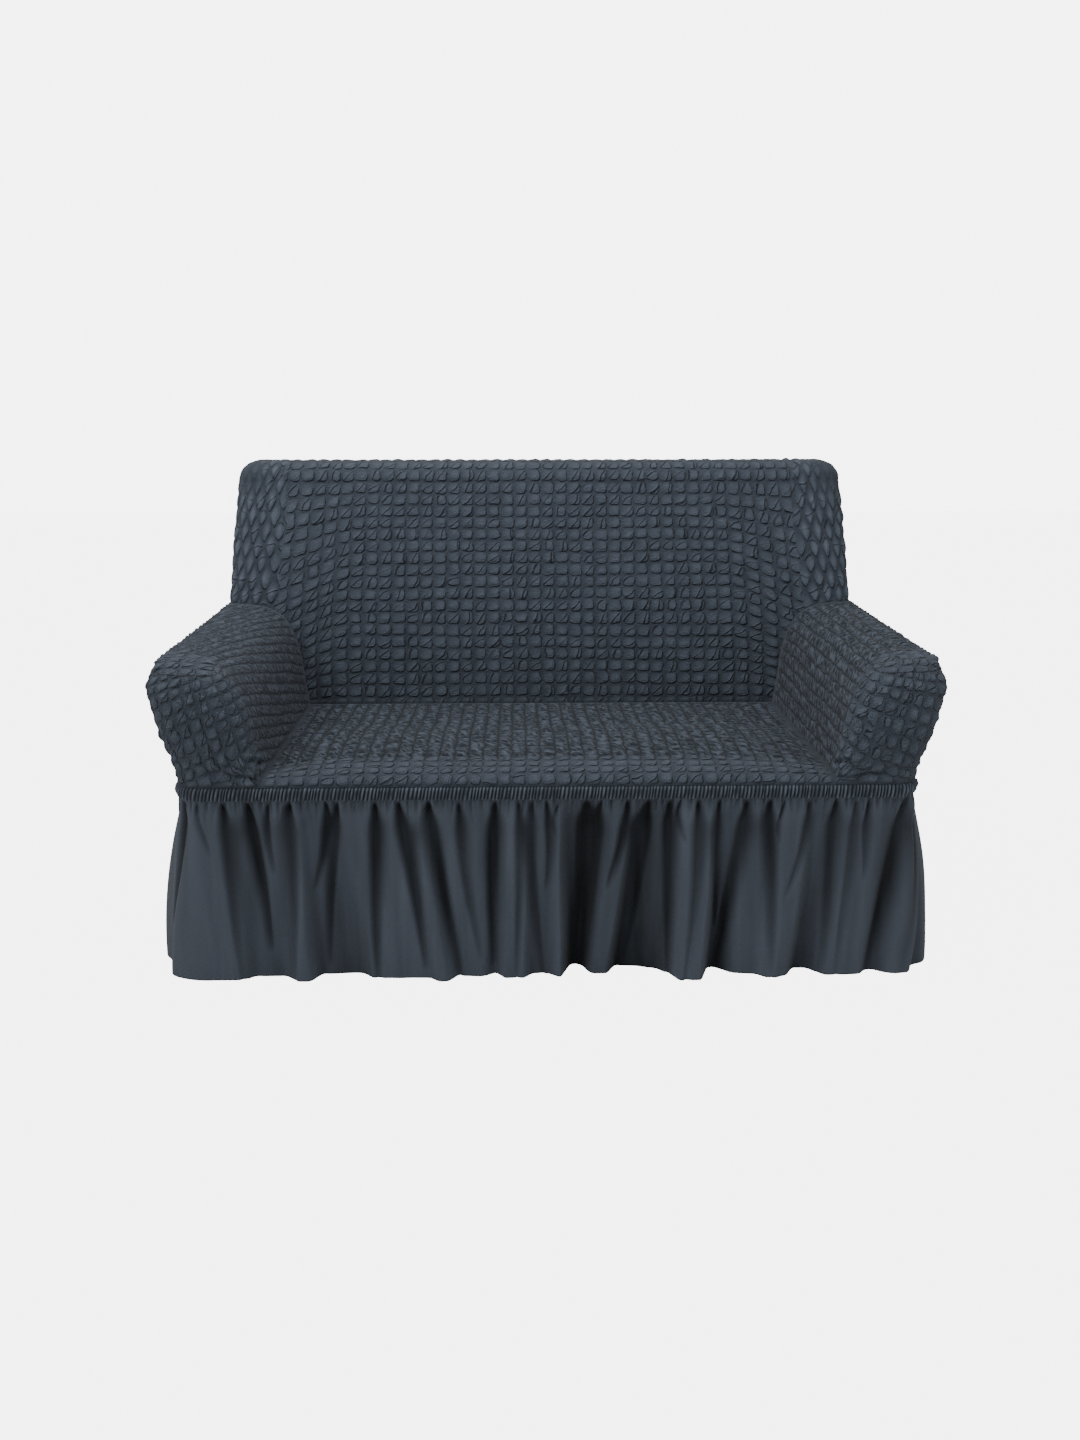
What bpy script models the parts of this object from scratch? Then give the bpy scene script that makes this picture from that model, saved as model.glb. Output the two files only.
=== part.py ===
"""Fitted two-seat sofa slipcover: bubble-stretch panels over back, seat and arms, a shirred heading and a
gathered skirt. Metres, +Z up, the front faces -Y, the origin is on the floor under the middle of the cover.

The cover is hollow. Each panel is a thin closed sheet that follows the form it is stretched over. Panels
meet at the creases and seams, where each stands back from the shared line by half of SEAM_GAP."""

import math

import bmesh
import bpy
import numpy as np

# ---- driving sizes -------------------------------------------------------------------------------------

CLOTH = 0.0028  # thickness of the bubble-stretch cloth
BAND = 0.003  # thickness of the shirred heading
SKIRT_CLOTH = 0.0016  # thickness of the smooth skirt cloth
SEAM_GAP = 0.0003  # clearance between neighbouring pieces
SEAM_SETBACK = 0.00028  # how far each piece's border stands back along its own face

FRONT_Y = -0.42  # front of the heading
REAR_Y = 0.42  # rear of the heading
BASE_HALF = 0.70  # half width of the heading
BASE_CORNER = 0.055  # plan radius of the heading's front corners
REAR_ROUND = 0.034  # rounding of the vertical and top edges at the rear
HEADING_TOP = 0.384
HEADING_BOTTOM = 0.360
HEM_Z = 0.0
ORIGIN_SHIFT = (-0.00086, -0.01682, 0.0)  # brings the origin under the middle of the whole cover

BACK_TOP = 0.936  # highest line of the inside back
TOP_ROUND = 0.046  # rounding over the top and side edges of the back
BACK_CORNER = 0.045  # plan radius of the back's front corners
CAP_NEAR = 0.95  # share of the straight front that stays straight along the rear of the top
CAP_END = 0.8  # how far inside the side the top's last row ends, as a share of TOP_ROUND
CREASE_Y = 0.17  # seat/back crease
CREASE_Z = 0.400
LEAN = 0.315  # how far the inside back leans backwards per metre of height
HOLLOW = 0.012  # how far the middle of the inside back sinks in
REAR_LEAN = 0.075  # how far the outside back leans backwards per metre

SEAT_NOSE_Z = 0.423  # top of the seat's front roll
SEAT_CROWN = 0.010
NOSE_REACH = 0.6  # share of the seat's depth that the front roll takes
NOSE_FULL = 0.7  # below 1 makes the roll blunter
NOSE_OUT = 0.006  # how far the roll stands forward of the heading
NOSE_OUT_REACH = 0.3
SIDE_HOLD = 6  # power by which the seat is held down along the arms

# Half width of the back at these heights.
BACK_WIDTH = np.array([(0.36, 0.722), (0.60, 0.724), (0.75, 0.716), (0.94, 0.700)])

# The arm's section, from the crease at the seat (row 0) up to the ridge (last row): inside and outside, the
# place of the front face at that level and the height of its middle, and the plan radius of its two corners.
ARM_COLUMNS = ("inner_x", "inner_z", "outer_x", "outer_z", "front_y", "front_z", "inner_r", "outer_r")
ARM_LEVELS = np.array(
    [
        (0.530, 0.400, 0.700, 0.384, -0.420, 0.384, 0.030, 0.055),
        (0.541, 0.450, 0.706, 0.430, -0.430, 0.435, 0.045, 0.055),
        (0.549, 0.494, 0.723, 0.480, -0.438, 0.486, 0.050, 0.058),
        (0.560, 0.536, 0.734, 0.530, -0.440, 0.533, 0.052, 0.060),
        (0.576, 0.571, 0.743, 0.572, -0.433, 0.571, 0.050, 0.060),
        (0.598, 0.597, 0.732, 0.601, -0.416, 0.599, 0.042, 0.052),
        (0.634, 0.614, 0.724, 0.617, -0.390, 0.615, 0.030, 0.034),
        (0.678, 0.621, 0.678, 0.621, -0.352, 0.621, 0.000, 0.000),
    ]
)
ARM = dict(zip(ARM_COLUMNS, ARM_LEVELS.T))
RIDGE = len(ARM_LEVELS) - 1
SEAM_LEVEL = 5  # the outer level whose rear end is the top of the rear corner seam
REAR_BLEND = 0.8  # share by which an arm's outer face falls in with the width of the back at the rear seam
ARM_TOE_OUT = 0.006  # how much further out the foot of an arm's inner face is at the front

# The skirt's front hem: distance along the heading from the middle, and how far the hem stands behind the
# front of the heading there. Flat stretches have two rows, one for each end.
FRONT_FOLDS = np.array(
    [
        (-0.790, 0.000), (-0.735, 0.018), (-0.690, -0.002), (-0.585, -0.004), (-0.565, 0.014),
        (-0.508, 0.014), (-0.484, -0.013), (-0.456, -0.012), (-0.438, 0.021), (-0.360, 0.024),
        (-0.334, 0.001), (-0.226, 0.000), (-0.212, -0.017), (-0.190, -0.016), (-0.178, 0.006),
        (-0.130, 0.004), (-0.098, 0.020), (-0.088, -0.005), (-0.048, -0.004), (-0.032, 0.018),
        (0.004, 0.016), (0.016, -0.002), (0.028, 0.000), (0.038, 0.050), (0.060, 0.052),
        (0.084, 0.012), (0.116, 0.012), (0.128, 0.047), (0.166, 0.046), (0.206, 0.036),
        (0.234, 0.010), (0.250, -0.024), (0.296, -0.022), (0.309, 0.036), (0.330, 0.030),
        (0.358, 0.008), (0.398, 0.005), (0.428, -0.015), (0.462, -0.003), (0.476, 0.028),
        (0.502, 0.028), (0.534, -0.004), (0.598, -0.002), (0.631, 0.020), (0.668, -0.006),
        (0.700, 0.018), (0.736, -0.004), (0.790, 0.000),
    ]
)
# How far the front folds' upper ends stand to the right of their places at the hem.
FRONT_LEAN = np.array(
    [
        (-0.790, 0.000), (-0.710, 0.022), (-0.600, -0.012), (-0.330, -0.044), (-0.200, -0.046),
        (-0.060, 0.000), (0.030, 0.005), (0.130, 0.040), (0.300, 0.012), (0.390, 0.002),
        (0.470, 0.038), (0.540, 0.014), (0.670, 0.032), (0.790, 0.000),
    ]
)
SIDE_FLARE = 0.074  # how far the hem stands out from the heading at the sides
CORNER_FLARE = 0.60  # share of that at the front corners, full FLARE_REACH behind them
FLARE_REACH = 0.09
FRONT_FLARE = 0.004
REAR_FLARE = 0.050
FOLD_SLOPE = (0.014, 0.026)  # shortest and longest way from a ridge down to a valley, at the sides and rear
FOLD_HALF = (0.012, 0.044)  # shortest and longest level stretch of a ridge or valley there
FOLD_DRIFT = 0.004  # how far such a stretch may slope
FOLD_IN = (0.016, 0.040)  # depth of the valleys there
FOLD_OUT = (-0.010, 0.006)  # and of the ridges
FOLD_START = 0.30  # share of a fold's depth that it has near the heading
FOLD_GROWTH = 0.9  # power by which it grows from there to the hem
GATHER_DROP = 0.12  # share of the drop over which the folds start from the heading
SEAM_FLAT = 0.03  # over this width the folds run out at a width's side seams
SWAY = 0.010  # how far the folds sway sideways on their way down
SWAY_WAVES = 31.0  # waves of that along the heading, in radians per metre
SWAY_TURN = 2.0  # and how far they turn down the drop, in radians
HEADING_SWELL = 0.0025  # how far the heading is full at mid height
REAR_SEAM_FROM_TURN = 0.05  # how far before the rear corners the side widths end
FOLD_SEEDS = {"skirt_right": 5, "skirt_left": 8, "skirt_back": 11}  # how the folds fall there

# ---- grid counts ---------------------------------------------------------------------------------------

LAST_CELL = 0.35  # length of an arm leg's last cell, which turns the rear edge, against the others
CREASE_CELLS = 12  # across the seat and the inside back between the arms
LEG_CELLS = 8  # along an arm's inner or outer face
TURN_CELLS = 4  # round an arm's front corners
FACE_CELLS = 2  # across an arm's front face
WALL_ROWS = 8  # up the inside back
CAP_ROWS = 6  # over its top
HEADING_CELLS = (9, 5, 11, 4, 9)  # front half, front corner, side, rear corner, rear half
FRONT_CELLS = 144
SKIRT_ROWS = 6
SIDE_CELLS = 44
REAR_CELLS = 76
WALL_SHARE = WALL_ROWS / (WALL_ROWS + CAP_ROWS)

# ---- forms ---------------------------------------------------------------------------------------------


def mix(a, b, t):
    return a + (b - a) * t


def rear_cut(y, rear):
    """How far a wall has turned in at depth y, on its way round the rear edge."""
    past = np.clip(y - (rear - REAR_ROUND), 0.0, REAR_ROUND)
    return REAR_ROUND - np.sqrt(REAR_ROUND**2 - past**2)


def rear_y(z):
    return REAR_Y + REAR_LEAN * (z - HEADING_TOP)


def seam_y(z):
    """Depth of the rear corner seam, half way round the rear edge."""
    return rear_y(z) - REAR_ROUND * (1 - math.cos(math.pi / 4))


def back_half(z):
    return np.interp(z, BACK_WIDTH[:, 0], BACK_WIDTH[:, 1])


def back_front(z):
    return CREASE_Y + LEAN * (z - CREASE_Z)


def back_lengths(z):
    """Lengths of the back's plan outline from its middle: straight front, corner, side wall, rear edge."""
    front = back_half(z) - BACK_CORNER
    wall = rear_y(z) - REAR_ROUND - back_front(z) - BACK_CORNER
    return front, BACK_CORNER * math.pi / 2, wall, REAR_ROUND * math.pi / 4


def back_outline(q, z):
    """Plan point of the back's skin at height z: q is 0 in the middle and -1 or 1 at the rear seams."""
    front, turn, wall, last = back_lengths(z)
    along = np.abs(q) * (front + turn + wall + last)
    corner = np.clip((along - front) / BACK_CORNER, 0, math.pi / 2)
    edge = np.clip((along - front - turn - wall) / REAR_ROUND, 0, math.pi / 4)
    x = np.minimum(along, front) + BACK_CORNER * np.sin(corner) - REAR_ROUND * (1 - np.cos(edge))
    y = back_front(z) + BACK_CORNER * (1 - np.cos(corner)) + REAR_ROUND * np.sin(edge)
    y = y + np.clip(along - front - turn, 0, wall)
    rise = np.clip((z - CREASE_Z) / (BACK_TOP - TOP_ROUND - CREASE_Z), 0, 1)
    y = y + HOLLOW * np.sin(math.pi * rise) * np.clip(1 - (along / front) ** 2, 0, 1)
    return np.sign(q) * x, y


def crease_table():
    """The crease round the foot of the back, from the seat's corner over the arm to the rear seam."""
    z = list(ARM["inner_z"])
    q = [ARM["inner_x"][k] / sum(back_lengths(z[k])) for k in range(RIDGE + 1)]
    for k in reversed(range(SEAM_LEVEL, RIDGE)):
        q.append(mix(q[RIDGE], 1.0, (RIDGE - k) / (RIDGE - SEAM_LEVEL)))
        z.append(ARM["outer_z"][k])
    return np.array(q), np.array(z)


CREASE_Q, CREASE_ZS = crease_table()


def back_point(q, v):
    """The back's skin: v is 0 at the crease round its foot, WALL_SHARE at the top edge, 1 at the seam."""
    z_foot = np.interp(np.abs(q), CREASE_Q, CREASE_ZS)
    z_edge = BACK_TOP - TOP_ROUND
    wall = np.clip(v / WALL_SHARE, 0, 1)
    z = mix(z_foot, z_edge, wall)
    x, y = back_outline(q, z)
    # Over the top the skin runs straight back to the rear seam, on a cap with a rounded edge.
    half = back_half(z_edge)
    front, turn, wall_length, last = back_lengths(z_edge)
    flat_q = front / (front + turn + wall_length + last)
    near, far = CAP_NEAR * front, half - CAP_END * TOP_ROUND
    beyond = mix(near, far, (np.abs(q) - flat_q) / (1 - flat_q))
    out = np.where(np.abs(q) < flat_q, near * np.abs(q) / flat_q, beyond)
    end_x, end_y = np.sign(q) * out, seam_y(BACK_TOP)
    way = np.hypot(end_x - x, end_y - y) + 1e-9
    bend = TOP_ROUND * np.arccos(1 - np.minimum(1, way / TOP_ROUND))
    t = np.clip((v - WALL_SHARE) / (1 - WALL_SHARE), 0, 1)
    gone = t * (bend + np.clip(way - TOP_ROUND, 0, None))
    travel = TOP_ROUND * (1 - np.cos(np.minimum(gone, bend) / TOP_ROUND)) + np.clip(gone - bend, 0, None)
    travel = travel / way
    x, y = mix(x, end_x, travel), mix(y, end_y, travel)
    rear = rear_y(BACK_TOP)
    side_gap = half - rear_cut(y, rear) - np.abs(x)
    front_gap = y - back_front(z_edge)
    in_x, in_y = np.clip(BACK_CORNER - side_gap, 0, None), np.clip(BACK_CORNER - front_gap, 0, None)
    inside = BACK_CORNER - np.hypot(in_x, in_y)
    inside = np.where((in_x > 0) & (in_y > 0), inside, np.minimum(side_gap, front_gap))
    rise = np.sqrt(np.clip(1 - (1 - np.clip(inside / TOP_ROUND, 0, 1)) ** 2, 0, 1))
    cap = z_edge + rise * (TOP_ROUND - rear_cut(y, rear))
    return np.stack([x, y, np.where(t > 0, cap, z)], -1)


LEG_SHARES = np.append(np.arange(LEG_CELLS) / (LEG_CELLS - 1 + LAST_CELL), 1.0)


def arm_rear(level, side_out):
    """Where the hoop at a level ends: on the crease of the back, or outside on the rear corner seam."""
    if side_out and level < SEAM_LEVEL:
        x, z = ARM["outer_x"][level], ARM["outer_z"][level]
        x = mix(x, back_half(z), REAR_BLEND * level / SEAM_LEVEL)
        return np.array([x - rear_cut(seam_y(z), rear_y(z)), seam_y(z), z])
    place = RIDGE + (RIDGE - level) if side_out else level
    return back_point(CREASE_Q[place], 0.0)


def arm_hoop(level):
    """One hoop of the arm at +X, from its inner rear end round the front to its outer rear end."""
    inner_x, inner_z, outer_x, outer_z, front_y, front_z, inner_r, outer_r = ARM_LEVELS[level]
    inner_x = inner_x + ARM_TOE_OUT * (1 - level / RIDGE)
    advance = inner_r * min(1.0, level)
    turns = math.pi / 2 * np.arange(TURN_CELLS) / TURN_CELLS
    start, end = arm_rear(level, False), np.array([inner_x, front_y + inner_r, inner_z])
    points = [mix(start, end, 1 - share) for share in LEG_SHARES[:0:-1]]
    for a in turns:
        x = inner_x + advance * (1 - math.cos(a))
        y = front_y + inner_r * (1 - math.sin(a))
        points.append(np.array([x, y, mix(inner_z, front_z, 1 - math.cos(a))]))
    start = np.array([inner_x + advance, front_y, front_z])
    end = np.array([outer_x - outer_r, front_y, mix(front_z, outer_z, 0.5)])
    points += [mix(start, end, k / FACE_CELLS) for k in range(FACE_CELLS)]
    for a in turns:
        x = outer_x - outer_r * (1 - math.sin(a))
        y = front_y + outer_r * (1 - math.cos(a))
        points.append(np.array([x, y, mix(end[2], outer_z, math.sin(a))]))
    start, end = np.array([outer_x, front_y + outer_r, outer_z]), arm_rear(level, True)
    rear = rear_y(outer_z)
    for share in LEG_SHARES:
        point = mix(start, end, share)
        if level <= SEAM_LEVEL:
            point[0] = mix(outer_x, end[0] + rear_cut(end[1], rear), share) - rear_cut(point[1], rear)
        points.append(point)
    return np.array(points)


def coons(bottom, top, left, right):
    """Grid of points spanned by four border lines that share their corners."""
    across, up = np.linspace(0, 1, len(bottom)), np.linspace(0, 1, len(left))
    u, v = across[:, None, None], up[None, :, None]
    grid = mix(bottom[:, None], top[:, None], v) + mix(left[None], right[None], u)
    corners = mix(mix(bottom[0], bottom[-1], u), mix(top[0], top[-1], u), v)
    return grid - corners


def back_grid():
    inner = CREASE_Q[0] * np.linspace(-1, 1, CREASE_CELLS + 1)
    q = np.concatenate([-CREASE_Q[:0:-1], inner, CREASE_Q[1:]])
    v = np.linspace(0, 1, WALL_ROWS + CAP_ROWS + 1)
    return back_point(q[:, None], v[None, :])


def arm_grid(side):
    grid = np.array([arm_hoop(level) for level in range(RIDGE + 1)]).transpose(1, 0, 2)
    return grid * np.array([side, 1, 1])


def seat_grid(arm_right, back):
    """The seat, from the heading over the front roll to the crease, between the two arms."""
    border = arm_right[LEG_CELLS + TURN_CELLS :: -1, 0]
    mirror = np.array([-1, 1, 1])
    first = len(CREASE_Q) - 1
    crease = back[first : first + CREASE_CELLS + 1, 0]
    u = np.linspace(0, 1, CREASE_CELLS + 1)
    front = mix(border[0] * mirror, border[0], u[:, None])
    grid = coons(front, crease, border * mirror, border)
    v = np.linspace(0, 1, len(border))[None, :]
    lift = np.clip(1 - (2 * u[:, None] - 1) ** SIDE_HOLD, 0, 1)
    nose = np.sin(math.pi * np.clip(v / NOSE_REACH, 0, 1)) ** NOSE_FULL
    grid[..., 2] += (SEAT_NOSE_Z - CREASE_Z) * nose * lift + SEAT_CROWN * np.sin(math.pi * v) * lift
    grid[..., 1] -= NOSE_OUT * np.sin(math.pi * np.clip(v / NOSE_OUT_REACH, 0, 1)) * lift
    return grid


def rear_grid(arm_right, back):
    """The outside back, spanned by the heading, the two rear corner seams and the seam along the top."""
    lower = arm_right[-1, : SEAM_LEVEL + 1]
    right = np.concatenate([lower, back[-1, 1:]])
    mirror = np.array([-1, 1, 1])
    top = back[:, -1]
    u = np.linspace(0, 1, len(top))[:, None]
    bottom = mix(right[0] * mirror, right[0], u)
    grid = coons(bottom, top, right * mirror, right)
    x, z = grid[..., 0], grid[..., 2]
    side = np.interp(z, right[:, 2], right[:, 0]) - np.abs(x)
    inside = np.clip(np.minimum(side, top[:, 2].max() - z), 0, None)
    reach = REAR_ROUND * math.sin(math.pi / 4)
    rise = np.sqrt(REAR_ROUND**2 - np.clip(reach - inside, 0, None) ** 2) - reach
    edge = np.zeros_like(rise)
    edge[1:-1, :-1] = 1.0
    grid[..., 1] += edge * rise
    return grid


LOOP_X = BASE_HALF - BASE_CORNER  # the heading's straight front half


def loop_point(along, grow=0.0):
    """Plan point and outward normal of the heading at a distance along it from the middle of the front."""
    along = np.where(along > HALF_LOOP, along - 2 * HALF_LOOP, along)
    side, s = np.sign(along), np.abs(along)
    turn, last = BASE_CORNER * math.pi / 2, REAR_ROUND * math.pi / 2
    wall = (REAR_Y - REAR_ROUND) - (FRONT_Y + BASE_CORNER)
    a = np.clip((s - LOOP_X) / BASE_CORNER, 0, math.pi / 2)
    b = np.clip((s - LOOP_X - turn - wall) / REAR_ROUND, 0, math.pi / 2)
    rest = np.clip(s - LOOP_X - turn - wall - last, 0, None)
    x = np.minimum(s, LOOP_X) + BASE_CORNER * np.sin(a) - REAR_ROUND * (1 - np.cos(b)) - rest
    y = FRONT_Y + BASE_CORNER * (1 - np.cos(a)) + np.clip(s - LOOP_X - turn, 0, wall) + REAR_ROUND * np.sin(b)
    nx, ny = np.sin(a + b), -np.cos(a + b)
    return side * (x + grow * nx), y + grow * ny, side * nx, ny


REAR_TURN = LOOP_X + BASE_CORNER * math.pi / 2 + REAR_Y - REAR_ROUND - FRONT_Y - BASE_CORNER
HALF_LOOP = REAR_TURN + REAR_ROUND * math.pi / 2 + BASE_HALF - REAR_ROUND
SIDE_SEAM = FRONT_FOLDS[-1][0]  # where the front width of the skirt is joined to the side widths
REAR_SEAM = REAR_TURN - REAR_SEAM_FROM_TURN


def heading_grid():
    """The shirred band as a ring of rows, a little full at mid height."""
    corner = LOOP_X + BASE_CORNER * math.pi / 2
    ends = (0, LOOP_X, corner, REAR_TURN, REAR_TURN + REAR_ROUND * math.pi / 2, HALF_LOOP)
    half = [np.linspace(a, b, n, endpoint=False) for a, b, n in zip(ends, ends[1:], HEADING_CELLS)]
    half = np.concatenate(half)
    along = np.concatenate([-half[:0:-1], half, [HALF_LOOP]])[:, None]
    rows = np.array([(0.0, 0.0), (0.5, HEADING_SWELL), (1.0, 0.0)])  # share of the height, swell
    x, y, _, _ = loop_point(along, rows[None, :, 1])
    z = mix(HEADING_BOTTOM + SEAM_GAP, HEADING_TOP - SEAM_GAP, rows[None, :, 0])
    return np.stack([x, y, z + 0 * x], -1)


def eased(at, table):
    """A line through a table's rows that is level at every row."""
    k = np.clip(np.searchsorted(table[:, 0], at, side="right") - 1, 0, len(table) - 2)
    t = np.clip((at - table[k, 0]) / (table[k + 1, 0] - table[k, 0]), 0, 1)
    return mix(table[k, 1], table[k + 1, 1], t * t * (3 - 2 * t))


def seeded_folds(start, end, seed):
    """Ridges and valleys of uneven width and depth, for the sides and the rear."""
    rng = np.random.default_rng(seed)
    rows, at, valley = [(start, 0.0)], start, True
    while at < end - FOLD_HALF[1] - FOLD_SLOPE[1]:
        slope, level = rng.uniform(*FOLD_SLOPE), rng.uniform(*FOLD_HALF)
        depth = rng.uniform(*(FOLD_IN if valley else FOLD_OUT))
        rows += [(at + slope, depth), (at + slope + level, depth + rng.uniform(-1, 1) * FOLD_DRIFT)]
        at += slope + level
        valley = not valley
    return np.array(rows + [(end, 0.0)])


def skirt_grid(start, end, cells, folds, leans=None):
    """A width of the skirt between two places along the heading, smooth at the top and folded at the hem."""
    across, down = np.linspace(start, end, cells + 1), np.linspace(1, 0, SKIRT_ROWS + 1)
    along, drop = np.meshgrid(across, down, indexing="ij")
    sway = SWAY * np.sin(SWAY_WAVES * along + SWAY_TURN * drop) * (1 - drop)
    sway = sway * np.clip(np.minimum(along - start, end - along) / SEAM_FLAT, 0, 1)
    growth = mix(FOLD_START, 1.0, drop**FOLD_GROWTH) * np.clip(drop / GATHER_DROP, 0, 1)
    lean = 0.0 if leans is None else eased(along, leans) * (1 - drop)
    depth = eased(along + sway - lean, folds) * growth
    flare = 1 - (1 - drop) ** 2
    x, y, nx, ny = loop_point(along)
    out_y = np.where(ny < 0, FRONT_FLARE, REAR_FLARE)
    behind = np.clip((y - FRONT_Y - BASE_CORNER) / FLARE_REACH, 0, 1)
    out_x = SIDE_FLARE * mix(CORNER_FLARE, 1.0, behind)
    x = x + nx * (out_x * flare - depth)
    y = y + ny * (out_y * flare - depth)
    return np.stack([x, y, mix(HEADING_BOTTOM - SEAM_GAP, HEM_Z, drop)], -1)


# ---- solids --------------------------------------------------------------------------------------------


def face_normals(grid):
    """Outward normals at a grid's points, from the faces round each."""
    a = np.cross(grid[1:, :-1] - grid[:-1, 1:], grid[1:, 1:] - grid[:-1, :-1])
    total = np.zeros_like(grid)
    for i, j in ((0, 0), (1, 0), (0, 1), (1, 1)):
        total[i : i + a.shape[0], j : j + a.shape[1]] += a
    return total


def shared_normals(grids):
    """One normal for each place, the same for all panels that meet there."""
    sums = {}
    keys = {name: np.round(grid * 1e4).astype(int) for name, grid in grids.items()}
    for name, grid in grids.items():
        for key, normal in zip(keys[name].reshape(-1, 3), face_normals(grid).reshape(-1, 3)):
            sums[tuple(key)] = sums.get(tuple(key), 0) + normal
    result = {}
    for name, grid in grids.items():
        normals = np.array([sums[tuple(key)] for key in keys[name].reshape(-1, 3)]).reshape(grid.shape)
        normals[..., 2] *= np.abs(grid[..., 2] - HEADING_TOP) > 1e-6  # the lower borders stand upright
        result[name] = normals / np.linalg.norm(normals, axis=-1, keepdims=True)
    return result


def stand_back(grid, setback, ends_only=False):
    """Moves a grid's border inwards along its own face, square to the border."""
    square = face_normals(grid)
    square /= np.linalg.norm(square, axis=-1, keepdims=True)
    moved = grid.copy()
    for axis in (0,) if ends_only else (0, 1):
        along = np.gradient(grid, axis=1 - axis)
        inward = np.cross(along, square) if axis == 0 else np.cross(square, along)
        inward /= np.linalg.norm(inward, axis=-1, keepdims=True) + 1e-12
        first, last = (0, slice(None)), (-1, slice(None))
        if axis == 1:
            first, last = first[::-1], last[::-1]
        moved[first] += inward[first] * setback
        moved[last] -= inward[last] * setback
    return moved


def fabric(name, colour, roughness):
    material = bpy.data.materials.new(name)
    material.use_nodes = True
    shader = material.node_tree.nodes["Principled BSDF"]
    shader.inputs["Base Color"].default_value = (*colour, 1.0)
    shader.inputs["Roughness"].default_value = roughness
    shader.inputs["Metallic"].default_value = 0.0
    return material


def cloth_sheet(name, outer, normals, thickness, material, ring=False):
    """A closed thin solid: a grid moved to its outer face, and the same grid inside it, joined at the rim."""
    cells_i, cells_j = outer.shape[0] - 1, outer.shape[1] - 1
    bm = bmesh.new()
    bmesh.ops.create_grid(bm, x_segments=cells_i, y_segments=cells_j, size=0.5)
    places = bm.verts.layers.int.new("place")
    outer = outer + np.array(ORIGIN_SHIFT)
    inner = outer - normals * thickness
    flat_inner, flat_outer = inner.reshape(-1, 3), outer.reshape(-1, 3)
    for vert in bm.verts:
        i, j = round((vert.co.x + 0.5) * cells_i), round((vert.co.y + 0.5) * cells_j)
        vert[places] = i * (cells_j + 1) + j
        vert.co = flat_outer[vert[places]]
    if ring:
        loose = [v for v in bm.verts if v[places] >= cells_i * (cells_j + 1)]
        for vert in loose:
            vert.co = flat_outer[vert[places] - cells_i * (cells_j + 1)]
    bmesh.ops.remove_doubles(bm, verts=bm.verts, dist=1e-6)
    bmesh.ops.triangulate(bm, faces=bm.faces)
    copy = bmesh.ops.extrude_face_region(bm, geom=bm.faces[:], use_keep_orig=True)
    for vert in (v for v in copy["geom"] if isinstance(v, bmesh.types.BMVert)):
        vert.co = flat_inner[vert[places]]
    bmesh.ops.triangulate(bm, faces=bm.faces, quad_method="SHORT_EDGE")  # so that facing rims match
    bmesh.ops.recalc_face_normals(bm, faces=bm.faces)
    if bm.calc_volume(signed=True) < 0:
        bmesh.ops.reverse_faces(bm, faces=bm.faces)
    mesh = bpy.data.meshes.new(name)
    bm.to_mesh(mesh)
    bm.free()
    mesh.shade_smooth()
    mesh.materials.append(material)
    piece = bpy.data.objects.new(name, mesh)
    bpy.context.scene.collection.objects.link(piece)
    return piece


def build():
    for old in list(bpy.data.objects):
        bpy.data.objects.remove(old)
    stretch = fabric("bubble_stretch_cloth", (0.045, 0.058, 0.075), 0.85)
    band = fabric("shirred_heading_cloth", (0.045, 0.057, 0.073), 0.80)
    smooth = fabric("smooth_skirt_cloth", (0.045, 0.056, 0.072), 0.75)

    back = back_grid()
    arm = arm_grid(1)
    grids = {
        "back_inside": back,
        "back_outside": rear_grid(arm, back)[::-1],
        "seat_panel": seat_grid(arm, back),
        "arm_right": arm,
        "arm_left": arm_grid(-1)[::-1],
    }
    normals = shared_normals(grids)
    for name, grid in grids.items():
        cloth_sheet(name, stand_back(grid, SEAM_SETBACK), normals[name], CLOTH, stretch)

    heading = heading_grid()
    heading = np.concatenate([heading, heading[:1]])
    square = face_normals(heading)
    square[0] += square[-1]
    square /= np.linalg.norm(square, axis=-1, keepdims=True)
    cloth_sheet("heading", heading, square, BAND, band, ring=True)

    sides = {"skirt_right": 1, "skirt_left": -1}
    skirt = {"skirt_front": skirt_grid(-SIDE_SEAM, SIDE_SEAM, FRONT_CELLS, FRONT_FOLDS, FRONT_LEAN)}
    for name, side in sides.items():
        folds = seeded_folds(SIDE_SEAM, REAR_SEAM, FOLD_SEEDS[name])
        grid = skirt_grid(SIDE_SEAM, REAR_SEAM, SIDE_CELLS, folds) * np.array([side, 1, 1])
        skirt[name] = grid if side > 0 else grid[::-1]
    folds = seeded_folds(REAR_SEAM, 2 * HALF_LOOP - REAR_SEAM, FOLD_SEEDS["skirt_back"])
    skirt["skirt_back"] = skirt_grid(REAR_SEAM, 2 * HALF_LOOP - REAR_SEAM, REAR_CELLS, folds)
    normals = shared_normals(skirt)
    for square in normals.values():
        square[..., 2] = 0.0  # so that the hem is level
        square /= np.linalg.norm(square, axis=-1, keepdims=True)
    for name, grid in skirt.items():
        cloth_sheet(name, stand_back(grid, SEAM_SETBACK, ends_only=True), normals[name], SKIRT_CLOTH, smooth)


build()
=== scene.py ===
"""The slipcover dressed: puckered stretch panels, a shirred heading and a gathered skirt of smooth cloth."""

from math import cos, pi, radians, sin

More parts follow.
